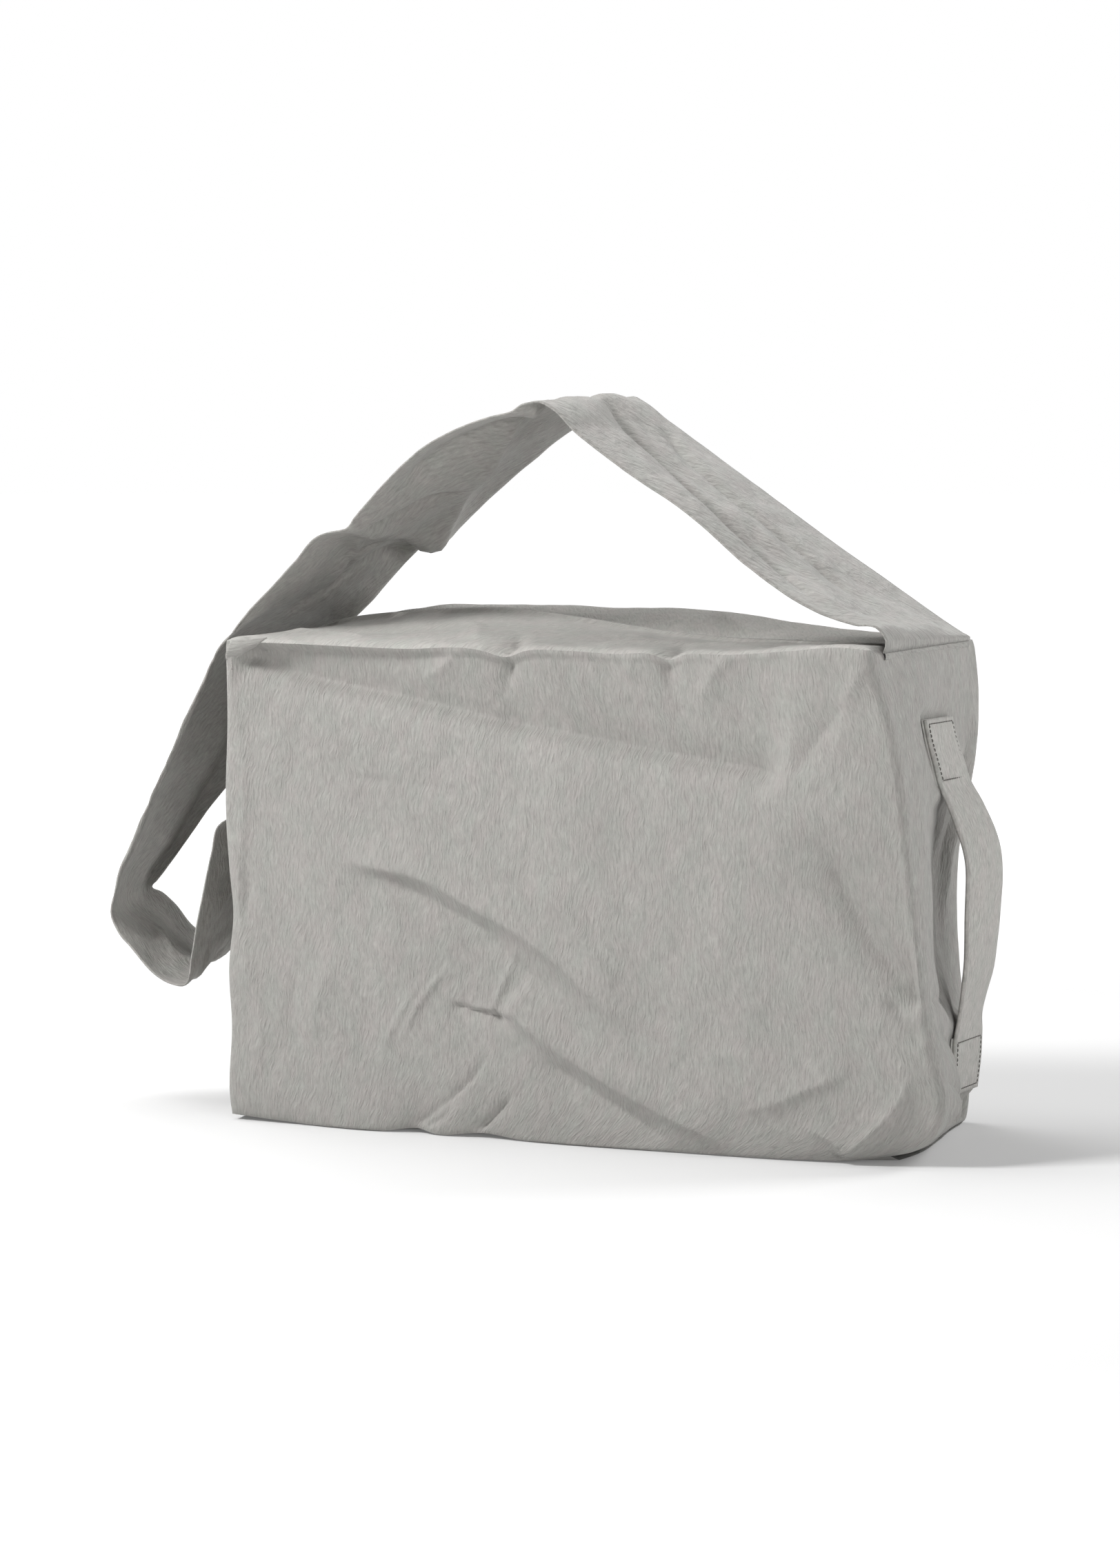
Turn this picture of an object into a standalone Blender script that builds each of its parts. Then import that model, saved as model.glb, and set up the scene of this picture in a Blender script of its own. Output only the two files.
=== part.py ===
"""Boxy cloth mail sack with a hidden zip mouth, a wide carrying strap and two grab handles.

Metres, +Z up. The origin is the middle of the base's underside. +X runs along the sack to
the end that the arched strap is sewn to, and the front faces -Y.
"""
import bpy
import bmesh
from math import atan2, cos, pi, sin, sqrt
from mathutils import Matrix, Vector

# Body
HALF_LENGTH = 0.250
HALF_DEPTH = 0.110
HEIGHT = 0.352
CLOTH = 0.002
GAP = 0.0003
INNER_DEPTH = HALF_DEPTH - CLOTH - GAP
WALL_FOOT = CLOTH + GAP
WALL_TOP = HEIGHT - CLOTH - GAP

# Right end: how far out it stands (x) at a height (z), along its front, middle and back
RIGHT_FRONT = [(0.285, WALL_FOOT), (0.300, 0.030), (0.302, 0.055), (0.287, 0.110),
               (0.278, 0.184), (0.268, 0.275), (0.250, WALL_TOP)]
RIGHT_MIDDLE = [(0.268, WALL_FOOT), (0.278, 0.040), (0.281, 0.080), (0.268, 0.110),
                (0.256, 0.160), (0.260, 0.215), (0.271, 0.254), (0.258, 0.302), (0.250, WALL_TOP)]
RIGHT_BACK = [(0.249, WALL_FOOT), (0.247, 0.220), (0.250, WALL_TOP)]
FLAT_MIDDLE = 0.035

# Mouth in the top
MOUTH_HALF_LENGTH = 0.160
MOUTH_HALF_WIDTH = 0.050
LIP_EDGE = 0.0005
NOTCH_END = 0.208
NOTCH_HALF_WIDTH = 0.007
HEM_IN = 0.016
HEM_OUT = 0.030

# Zip under the mouth
TAPE_LOW = 0.3425
TAPE_THICK = 0.001
TAPE_IN = 0.0041
TAPE_OUT = 0.028
TEETH_LOW = 0.3420
TEETH_HIGH = 0.3445
TEETH_IN = 0.0011
TEETH_OUT = 0.0038
HEM_LOW = TAPE_LOW + TAPE_THICK + GAP
ZIP_END = 0.235
SLIDER_X = 0.176
SLIDER_HALF = 0.008
SLIDER_HALF_WIDTH = 0.0065
TAB_LENGTH = 0.026
TAB_HALF_WIDTH = 0.004
TAB_PIN_Z = 0.3474

# Shoulder strap
STRAP_THICK = 0.003
ARCH_HALF_WIDTH = 0.085
DROP_HALF_WIDTH = 0.050
ARCH_KNOTS = [(0.1700, 0.4040), (0.1400, 0.4235), (0.1000, 0.4510), (0.0570, 0.4800),
              (0.0280, 0.5040), (0.0100, 0.5225), (-0.0080, 0.5310), (-0.0300, 0.5290),
              (-0.0700, 0.5100), (-0.1212, 0.4750), (-0.1540, 0.4530), (-0.1900, 0.4290)]
ROOT_KNOTS = [(0.1718, 0.4030), (0.2080, 0.3790), (0.2320, 0.3620), (0.2490, 0.3550)]
DROP_KNOTS = [(-0.1918, 0.4280), (-0.2330, 0.4010), (-0.2700, 0.3760), (-0.2930, 0.3500),
              (-0.3138, 0.3073), (-0.3349, 0.2601), (-0.3592, 0.2124), (-0.3745, 0.1752),
              (-0.3800, 0.1400), (-0.3700, 0.1160), (-0.3560, 0.1060)]
RETURN_KNOTS = [(-0.3540, 0.1050), (-0.3350, 0.0930), (-0.3170, 0.0960), (-0.3074, 0.1362),
                (-0.3000, 0.1678), (-0.2880, 0.2123), (-0.2740, 0.2800), (-0.2555, 0.3450)]

# Grab handles
HANDLE_HALF_WIDTH = 0.0275
HANDLE_THICK = 0.003
RIGHT_UPPER_TAB = [(0.2622, 0.3020), (0.2685, 0.2790), (0.2752, 0.2560)]
RIGHT_UPPER_LEAD = (0.2865, 0.2388)
RIGHT_LOWER_TAB = [(0.2820, 0.0400), (0.2843, 0.0620), (0.2848, 0.0800)]
RIGHT_LOWER_LEAD = (0.2895, 0.1075)
RIGHT_GRIP = [(0.2885, 0.2355), (0.2965, 0.2140), (0.2975, 0.1700), (0.2935, 0.1240),
              (0.2900, 0.1090)]
LEFT_UPPER_TAB = [(-0.2520, 0.3020), (-0.2530, 0.2560)]
LEFT_UPPER_LEAD = (-0.2628, 0.2385)
LEFT_LOWER_TAB = [(-0.2520, 0.0400), (-0.2530, 0.0800)]
LEFT_LOWER_LEAD = (-0.2645, 0.0990)
LEFT_GRIP = [(-0.2640, 0.2360), (-0.2730, 0.2060), (-0.2770, 0.1700), (-0.2740, 0.1280),
             (-0.2655, 0.1020)]
RIGHT_GRIP_AXIS = (0.2800, 0.0, 0.1680)
LEFT_GRIP_AXIS = (-0.2540, 0.0, 0.1680)
THREAD = 0.0004
STITCH_INSET = 0.005

# Seam bindings inside the sack
BINDING_WIDTH = 0.010
BINDING_THICK = 0.0012
BINDING_INSET = 0.012


def clear_scene():
    for obj in list(bpy.data.objects):
        bpy.data.objects.remove(obj)


def new_collection(name):
    collection = bpy.data.collections.new(name)
    bpy.context.scene.collection.children.link(collection)
    return collection


def material(name, colour, roughness, metallic=0.0):
    found = bpy.data.materials.get(name)
    if found:
        return found
    made = bpy.data.materials.new(name)
    made.use_nodes = True
    shader = made.node_tree.nodes["Principled BSDF"]
    shader.inputs["Base Color"].default_value = (*colour, 1.0)
    shader.inputs["Roughness"].default_value = roughness
    shader.inputs["Metallic"].default_value = metallic
    return made


def body_cloth():
    return material("body cloth", (0.38, 0.37, 0.35), 0.75)


def strap_cloth():
    return material("strap cloth", (0.36, 0.35, 0.33), 0.75)


def zip_tape_cloth():
    return material("zip tape cloth", (0.22, 0.21, 0.20), 0.80)


def zip_teeth_plastic():
    return material("zip teeth plastic", (0.18, 0.18, 0.17), 0.45)


def zip_metal():
    return material("zip metal", (0.55, 0.54, 0.52), 0.35, 1.0)


def thread():
    return material("thread", (0.45, 0.44, 0.42), 0.70)


def put(obj, surface, target):
    """Give an object its own copy of a surface and file it in a collection."""
    own = surface.copy()
    own.name = obj.name
    obj.data.materials.clear()
    obj.data.materials.append(own)
    for holder in list(obj.users_collection):
        holder.objects.unlink(obj)
    target.objects.link(obj)
    return obj


def set_origin(obj, point):
    """Move an object's origin to a point and leave its shape where it is."""
    shift = Vector(point) - obj.location
    turned = obj.rotation_euler.to_matrix().inverted() @ shift
    obj.data.transform(Matrix.Translation(-turned))
    obj.location = point
    return obj


def box_object(name, low, high):
    middle = [(a + b) / 2 for a, b in zip(low, high)]
    size = [b - a for a, b in zip(low, high)]
    mesh = bpy.data.meshes.new(name)
    shape = bmesh.new()
    bmesh.ops.create_cube(shape, size=1.0)
    bmesh.ops.scale(shape, vec=size, verts=shape.verts)
    shape.to_mesh(mesh)
    shape.free()
    obj = bpy.data.objects.new(name, mesh)
    obj.location = middle
    bpy.context.scene.collection.objects.link(obj)
    return obj


def box(name, low, high, surface, parts):
    return put(box_object(name, low, high), surface, parts)


def combine(obj, other, operation, cutters):
    """Boolean an object with a helper solid that stays out of the model."""
    for holder in list(other.users_collection):
        holder.objects.unlink(other)
    cutters.objects.link(other)
    other.hide_render = True
    other.display_type = "WIRE"
    step = obj.modifiers.new(other.name, "BOOLEAN")
    step.operation = operation
    step.solver = "EXACT"
    step.object = other


def outline_object(name, points, thickness, plane):
    """A flat outline in the XZ or XY plane, thickened equally both ways."""
    curve = bpy.data.curves.new(name, "CURVE")
    curve.dimensions = "2D"
    curve.fill_mode = "BOTH"
    curve.extrude = thickness / 2
    spline = curve.splines.new("POLY")
    spline.points.add(len(points) - 1)
    for place, (across, up) in zip(spline.points, points):
        place.co = (across, up, 0.0, 1.0)
    spline.use_cyclic_u = True
    obj = bpy.data.objects.new(name, curve)
    if plane == "XZ":
        obj.rotation_euler = (pi / 2, 0.0, 0.0)
    bpy.context.scene.collection.objects.link(obj)
    return obj


def smooth_path(knots, step):
    """Points about a step apart on a smooth curve through the knots."""
    ends = [[2 * a - b for a, b in zip(knots[0], knots[1])],
            [2 * a - b for a, b in zip(knots[-1], knots[-2])]]
    row = [ends[0], *knots, ends[1]]
    path = []
    for k in range(1, len(row) - 2):
        before, start, end, after = row[k - 1:k + 3]
        length = sqrt(sum((a - b) ** 2 for a, b in zip(start, end)))
        count = max(1, round(length / step))
        for i in range(count):
            t = i / count
            path.append([
                0.5 * (2 * s + (e - b) * t + (2 * b - 5 * s + 4 * e - a) * t ** 2
                       + (3 * s - b - 3 * e + a) * t ** 3)
                for b, s, e, a in zip(before, start, end, after)
            ])
    path.append(list(knots[-1]))
    return path


def band_outline(path, thickness):
    """The closed outline of a band of even thickness whose middle follows a path."""
    left, right = [], []
    for k, (x, z) in enumerate(path):
        x0, z0 = path[max(k - 1, 0)]
        x1, z1 = path[min(k + 1, len(path) - 1)]
        angle = atan2(z1 - z0, x1 - x0)
        dx, dz = -sin(angle) * thickness / 2, cos(angle) * thickness / 2
        left.append((x + dx, z + dz))
        right.append((x - dx, z - dz))
    return left + right[::-1]


def band(name, knots, half_width, surface, parts, thickness=STRAP_THICK, step=0.012, y=0.0):
    """A band of cloth that bends in the XZ plane and is straight across, along Y."""
    path = smooth_path(knots, step)
    obj = outline_object(name, band_outline(path, thickness), 2 * half_width, "XZ")
    obj.location.y = y
    return put(obj, surface, parts)


def height_lookup(knots, z):
    """How far out a wall stands at a height, from its (x, z) knots."""
    previous = knots[0]
    for knot in knots[1:]:
        if z <= knot[1]:
            share = (z - previous[1]) / (knot[1] - previous[1])
            return previous[0] + (knot[0] - previous[0]) * share
        previous = knot
    return knots[-1][0]


def right_wall_x(y, z):
    """The right end's outer face: flat across its middle, blended to its two edges."""
    share = max(0.0, abs(y) - FLAT_MIDDLE) / (INNER_DEPTH - FLAT_MIDDLE)
    edge = RIGHT_FRONT if y < 0 else RIGHT_BACK
    middle = height_lookup(RIGHT_MIDDLE, z)
    return middle + (height_lookup(edge, z) - middle) * share


def long_wall(name, side, edge, parts):
    """The front or back panel: one flat cloth that covers the ends' edges."""
    points = [(-HALF_LENGTH, WALL_FOOT), *edge, (-HALF_LENGTH, WALL_TOP)]
    obj = outline_object(name, points, CLOTH, "XZ")
    obj.location.y = side * (HALF_DEPTH - CLOTH / 2)
    put(obj, body_cloth(), parts)


def right_end(parts):
    """The end panel that bulges at its front foot and caves in behind the handle."""
    across = [-INNER_DEPTH, -0.075, -FLAT_MIDDLE, FLAT_MIDDLE, 0.075, INNER_DEPTH]
    heights = sorted({z for _, z in RIGHT_FRONT + RIGHT_MIDDLE + RIGHT_BACK})
    mesh = bpy.data.meshes.new("end_panel_right")
    shape = bmesh.new()
    rows = [[shape.verts.new((right_wall_x(y, z), y, z)) for y in across] for z in heights]
    for low, high in zip(rows, rows[1:]):
        for k in range(len(across) - 1):
            shape.faces.new((low[k], low[k + 1], high[k + 1], high[k]))
    inner = bmesh.ops.extrude_face_region(shape, geom=shape.faces[:])["geom"]
    moved = [item for item in inner if isinstance(item, bmesh.types.BMVert)]
    bmesh.ops.translate(shape, vec=(-CLOTH, 0.0, 0.0), verts=moved)
    bmesh.ops.recalc_face_normals(shape, faces=shape.faces)
    shape.to_mesh(mesh)
    shape.free()
    obj = bpy.data.objects.new("end_panel_right", mesh)
    bpy.context.scene.collection.objects.link(obj)
    put(obj, body_cloth(), parts)


def walls_and_base(parts):
    foot = WALL_FOOT
    outline = [(-HALF_LENGTH, -HALF_DEPTH), (RIGHT_FRONT[0][0], -HALF_DEPTH),
               (right_wall_x(0.0, foot), 0.0), (RIGHT_BACK[0][0], HALF_DEPTH),
               (-HALF_LENGTH, HALF_DEPTH)]
    base = outline_object("base_panel", outline, CLOTH, "XY")
    base.location.z = CLOTH / 2
    put(base, body_cloth(), parts)
    long_wall("front_panel", -1, RIGHT_FRONT, parts)
    long_wall("back_panel", 1, RIGHT_BACK, parts)
    right_end(parts)
    box("end_panel_left", (-HALF_LENGTH, -INNER_DEPTH, WALL_FOOT),
        (-HALF_LENGTH + CLOTH, INNER_DEPTH, WALL_TOP), body_cloth(), parts)


def top_borders(parts):
    """The top cloth's two long strips, from the side seams to the mouth's fold lines."""
    for name, side in (("front", -1), ("back", 1)):
        edges = sorted((side * HALF_DEPTH, side * (MOUTH_HALF_WIDTH + GAP)))
        box(f"top_border_{name}", (-HALF_LENGTH, edges[0], HEIGHT - CLOTH),
            (HALF_LENGTH, edges[1], HEIGHT), body_cloth(), parts)


def top_ends(parts, cutters):
    """The top cloth past the mouth: notched for the parked slider, hemmed over the tapes."""
    width = MOUTH_HALF_WIDTH - GAP
    inner = MOUTH_HALF_LENGTH + 2 * GAP
    for name, side in (("left", -1), ("right", 1)):
        xs = sorted((side * inner, side * HALF_LENGTH))
        obj = box(f"top_end_{name}", (xs[0], -width, HEIGHT - CLOTH), (xs[1], width, HEIGHT),
                  body_cloth(), parts)
        notch = sorted((side * (inner - 0.01), side * NOTCH_END))
        combine(obj, box_object(f"notch_{name}", (notch[0], -NOTCH_HALF_WIDTH, HEIGHT - 0.01),
                                (notch[1], NOTCH_HALF_WIDTH, HEIGHT + 0.01)),
                "DIFFERENCE", cutters)
        hem = sorted((side * inner, side * (ZIP_END - 0.002)))
        for place, hem_side in (("front", -1), ("back", 1)):
            ys = sorted((hem_side * HEM_IN, hem_side * HEM_OUT))
            combine(obj, box_object(f"hem_{name}_{place}", (hem[0], ys[0], HEM_LOW),
                                    (hem[1], ys[1], HEIGHT - CLOTH / 2)),
                    "UNION", cutters)


def mouth_lips(parts, cutters):
    """The two halves that fold back from the closed mouth, each with its hem underneath."""
    for name, side in (("front", -1), ("back", 1)):
        ys = sorted((side * LIP_EDGE, side * (MOUTH_HALF_WIDTH - GAP)))
        lip = box(f"mouth_lip_{name}", (-MOUTH_HALF_LENGTH, ys[0], HEIGHT - CLOTH),
                  (MOUTH_HALF_LENGTH, ys[1], HEIGHT), body_cloth(), parts)
        hem = sorted((side * HEM_IN, side * HEM_OUT))
        combine(lip, box_object(f"hem_{name}", (-MOUTH_HALF_LENGTH, hem[0], HEM_LOW),
                                (MOUTH_HALF_LENGTH, hem[1], HEIGHT - CLOTH / 2)),
                "UNION", cutters)
        set_origin(lip, (0.0, side * MOUTH_HALF_WIDTH, HEIGHT))


def zip_tapes_and_teeth(parts):
    length = MOUTH_HALF_LENGTH
    for name, side in (("front", -1), ("back", 1)):
        ys = sorted((side * TAPE_IN, side * TAPE_OUT))
        box(f"zip_tape_{name}", (-length, ys[0], TAPE_LOW),
            (length, ys[1], TAPE_LOW + TAPE_THICK), zip_tape_cloth(), parts)
        for end, end_side in (("left", -1), ("right", 1)):
            xs = sorted((end_side * (length + 2 * GAP), end_side * ZIP_END))
            box(f"zip_end_tape_{name}_{end}", (xs[0], ys[0], TAPE_LOW),
                (xs[1], ys[1], TAPE_LOW + TAPE_THICK), zip_tape_cloth(), parts)
        rows = sorted((side * TEETH_IN, side * TEETH_OUT))
        box(f"zip_teeth_{name}", (-length, rows[0], TEETH_LOW), (length, rows[1], TEETH_HIGH),
            zip_teeth_plastic(), parts)
        box(f"zip_top_stop_{name}", (0.1865, rows[0], TEETH_LOW), (0.1895, rows[1], TEETH_HIGH),
            zip_metal(), parts)
    box("zip_bottom_stop", (-0.2100, -TEETH_OUT, TEETH_LOW), (-0.2065, TEETH_OUT, TEETH_HIGH),
        zip_metal(), parts)


def zip_slider(parts, cutters):
    """Two plates joined by a post between the teeth, with side walls and a bridge."""
    low, high = SLIDER_X - SLIDER_HALF, SLIDER_X + SLIDER_HALF
    wide = SLIDER_HALF_WIDTH
    slider = box("zip_slider", (low, -wide, 0.3452), (high, wide, 0.3464), zip_metal(), parts)
    pieces = {
        "slider_floor": ((low, -wide, 0.3398), (high, wide, 0.3410)),
        "slider_post": ((high - 0.005, -0.0006, 0.3404), (high - 0.001, 0.0006, 0.3458)),
    }
    for name, side in (("front", -1), ("back", 1)):
        ys = sorted((side * 0.0052, side * wide))
        pieces[f"slider_upper_wall_{name}"] = ((low, ys[0], 0.3440), (high, ys[1], 0.3458))
        pieces[f"slider_lower_wall_{name}"] = ((low, ys[0], 0.3404), (high, ys[1], 0.3420))
    middle = SLIDER_X
    pieces["bridge_post_rear"] = ((middle - 0.0045, -0.0012, 0.3458),
                                  (middle - 0.0035, 0.0012, 0.3490))
    pieces["bridge_post_front"] = ((middle + 0.0035, -0.0012, 0.3458),
                                   (middle + 0.0045, 0.0012, 0.3490))
    pieces["bridge_bar"] = ((middle - 0.0045, -0.0012, 0.3484), (middle + 0.0045, 0.0012, 0.3494))
    for name, (start, end) in pieces.items():
        combine(slider, box_object(name, start, end), "UNION", cutters)


def zip_pull_tab(parts, cutters):
    """A flat tab whose eye rides on a bar under the slider's bridge."""
    pin = SLIDER_X
    flat_low, flat_high = TAB_PIN_Z - 0.0005, TAB_PIN_Z + 0.0005
    tab = box("zip_pull_tab", (pin - 0.0005, -TAB_HALF_WIDTH, flat_low),
              (pin + TAB_LENGTH, TAB_HALF_WIDTH, flat_high), zip_metal(), parts)
    combine(tab, box_object("tab_eye", (pin + 0.0005, -0.0025, flat_low - 0.01),
                            (pin + 0.0062, 0.0025, flat_high + 0.01)),
            "DIFFERENCE", cutters)
    combine(tab, box_object("tab_slot", (pin + TAB_LENGTH - 0.009, -0.0015, flat_low - 0.01),
                            (pin + TAB_LENGTH - 0.003, 0.0015, flat_high + 0.01)),
            "DIFFERENCE", cutters)
    set_origin(tab, (pin, 0.0, TAB_PIN_Z))


def shoulder_strap(parts):
    """The strap's arch and root on the right, its drop and return past the left end."""
    arch = band("shoulder_strap_arch", ARCH_KNOTS, ARCH_HALF_WIDTH, strap_cloth(), parts)
    set_origin(arch, (0.0, 0.0, 0.405))
    band("shoulder_strap_right_root", ROOT_KNOTS, ARCH_HALF_WIDTH, strap_cloth(), parts)
    band("shoulder_strap_left_drop", DROP_KNOTS, DROP_HALF_WIDTH, strap_cloth(), parts)
    band("shoulder_strap_left_return", RETURN_KNOTS, DROP_HALF_WIDTH, strap_cloth(), parts)


def stitch_ring(name, middle, tilt, half_width, half_height, parts):
    """One closed run of thread round a sewn tab, lying in the tab's slanted plane."""
    curve = bpy.data.curves.new(name, "CURVE")
    curve.dimensions = "3D"
    curve.bevel_depth = THREAD
    curve.bevel_resolution = 1
    spline = curve.splines.new("POLY")
    corners = [(-half_width, -half_height), (half_width, -half_height),
               (half_width, half_height), (-half_width, half_height)]
    spline.points.add(3)
    for place, (y, z) in zip(spline.points, corners):
        place.co = (0.0, y, z, 1.0)
    spline.use_cyclic_u = True
    obj = bpy.data.objects.new(name, curve)
    obj.location = middle
    obj.rotation_euler = (0.0, tilt, 0.0)
    bpy.context.scene.collection.objects.link(obj)
    put(obj, thread(), parts)


def sewn_tab(name, knots, lead, side, parts):
    """A handle's sewn end and the start of its free part, with the thread that boxes it down."""
    band(f"handle_tab_{name}", [*knots, lead], HANDLE_HALF_WIDTH, strap_cloth(), parts,
         thickness=HANDLE_THICK)
    (x0, z0), (x1, z1) = max(knots, key=lambda k: k[1]), min(knots, key=lambda k: k[1])
    tilt = atan2(x0 - x1, z0 - z1)
    off = side * (HANDLE_THICK / 2 + THREAD + 2 * GAP + 0.0004)
    middle = ((x0 + x1) / 2 + off * cos(tilt), 0.0, (z0 + z1) / 2 - off * sin(tilt))
    height = sqrt((x0 - x1) ** 2 + (z0 - z1) ** 2) / 2 - STITCH_INSET
    stitch_ring(f"handle_stitch_{name}", middle, tilt, HANDLE_HALF_WIDTH - STITCH_INSET,
                height, parts)


def grab_handles(parts):
    sewn_tab("right_upper", RIGHT_UPPER_TAB, RIGHT_UPPER_LEAD, 1, parts)
    sewn_tab("right_lower", RIGHT_LOWER_TAB, RIGHT_LOWER_LEAD, 1, parts)
    sewn_tab("left_upper", LEFT_UPPER_TAB, LEFT_UPPER_LEAD, -1, parts)
    sewn_tab("left_lower", LEFT_LOWER_TAB, LEFT_LOWER_LEAD, -1, parts)
    right = band("handle_grip_right", RIGHT_GRIP, HANDLE_HALF_WIDTH, strap_cloth(), parts,
                 thickness=HANDLE_THICK)
    set_origin(right, RIGHT_GRIP_AXIS)
    left = band("handle_grip_left", LEFT_GRIP, HANDLE_HALF_WIDTH, strap_cloth(), parts,
                thickness=HANDLE_THICK)
    set_origin(left, LEFT_GRIP_AXIS)


def seam_bindings(parts):
    """Tapes that cover the raw seams inside the upright corners and along the base."""
    low, high = 0.016, 0.330
    heights = (high, 0.275, 0.184, 0.110, 0.070, 0.055, 0.030, low)
    for name, side, edge in (("front", -1, RIGHT_FRONT), ("back", 1, RIGHT_BACK)):
        y = side * (INNER_DEPTH - BINDING_THICK / 2)
        right = [(height_lookup(edge, z) - BINDING_INSET, z) for z in heights]
        left = [(BINDING_INSET - HALF_LENGTH, z) for z in (high, low)]
        for end, knots in (("right", right), ("left", left)):
            band(f"seam_binding_{end}_{name}", knots, BINDING_THICK / 2, zip_tape_cloth(), parts,
                 thickness=BINDING_WIDTH, step=0.05, y=y)
        ys = sorted((side * (INNER_DEPTH - BINDING_WIDTH), side * INNER_DEPTH))
        box(f"seam_binding_base_{name}", (-0.225, ys[0], WALL_FOOT),
            (0.225, ys[1], WALL_FOOT + BINDING_THICK), zip_tape_cloth(), parts)


def main():
    clear_scene()
    parts = new_collection("mail_sack")
    cutters = new_collection("cutters")
    walls_and_base(parts)
    top_borders(parts)
    top_ends(parts, cutters)
    mouth_lips(parts, cutters)
    zip_tapes_and_teeth(parts)
    zip_slider(parts, cutters)
    zip_pull_tab(parts, cutters)
    shoulder_strap(parts)
    grab_handles(parts)
    seam_bindings(parts)


main()
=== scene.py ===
import math

import bpy
import numpy as np
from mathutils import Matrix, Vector


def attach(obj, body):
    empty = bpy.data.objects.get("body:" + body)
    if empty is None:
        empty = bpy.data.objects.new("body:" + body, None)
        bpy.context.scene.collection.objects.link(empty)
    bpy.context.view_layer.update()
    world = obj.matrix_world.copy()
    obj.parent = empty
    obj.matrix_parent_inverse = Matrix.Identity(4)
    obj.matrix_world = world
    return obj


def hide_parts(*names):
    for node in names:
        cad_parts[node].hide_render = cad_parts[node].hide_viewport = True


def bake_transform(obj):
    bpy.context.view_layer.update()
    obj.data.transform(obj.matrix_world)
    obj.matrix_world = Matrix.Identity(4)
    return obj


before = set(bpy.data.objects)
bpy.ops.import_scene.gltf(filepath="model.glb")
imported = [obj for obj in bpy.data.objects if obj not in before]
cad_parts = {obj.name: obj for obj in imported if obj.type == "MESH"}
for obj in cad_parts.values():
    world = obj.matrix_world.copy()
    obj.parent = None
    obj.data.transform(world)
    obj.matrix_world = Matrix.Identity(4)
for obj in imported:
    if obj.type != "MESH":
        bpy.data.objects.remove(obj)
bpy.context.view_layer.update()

# Camera: azimuth and elevation in degrees, then metres and millimetres of lens
VIEW_TURN, VIEW_LIFT, VIEW_FAR, LENS = 24.7, 4.34, 3.219, 100.8
VIEW_AT = Vector((-0.0316, 0.0, 0.247))

# Body: grid steps, how far the walls may stand out, the lowest points, and the two long sides
NX, NZ, NY_HALF = 260, 180, 54
WALL_LIMIT = 0.1258
LOWEST_WALL, LOWEST_BASE = 0.0006, 0.0004
SIDES = (("front", -1), ("back", 1))

# Top: lowest height of its cloth, how much higher it passes over the zip, and the hem under the mouth's edge
# as distance out, drop from the edge, or else height
TOP_LEVEL, OVER_ZIP = 0.3420, 0.0092
HEM = [(0.0002, -0.0012, None), (0.0040, None, 0.3512), (0.0084, None, 0.3508), (0.0120, None, 0.3478),
       (0.0155, None, 0.3452), (0.0220, None, 0.3446), (0.0290, None, 0.3446)]

# Tables from here to the grab handles are in tenths of a millimetre, but a fold's path and widths and how
# far the strap stands out are in millimetres
TENTHS = 10000

# Corners of the sack: front or back, left or right, base or top
FLB, FRB = (-2485, -1055, 40), (2620, -950, 50)
FLT, FRT = (-2500, -1075, 3525), (2475, -1030, 3545)
BLB, BRB = (-2485, 1055, 30), (2470, 1040, 20)
BLT, BRT = (-2500, 1075, 3540), (2500, 1040, 3540)
LEFT_PEAK, RIGHT_PEAK = (-2505, 0, 3535), (2510, 0, 3530)

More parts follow.
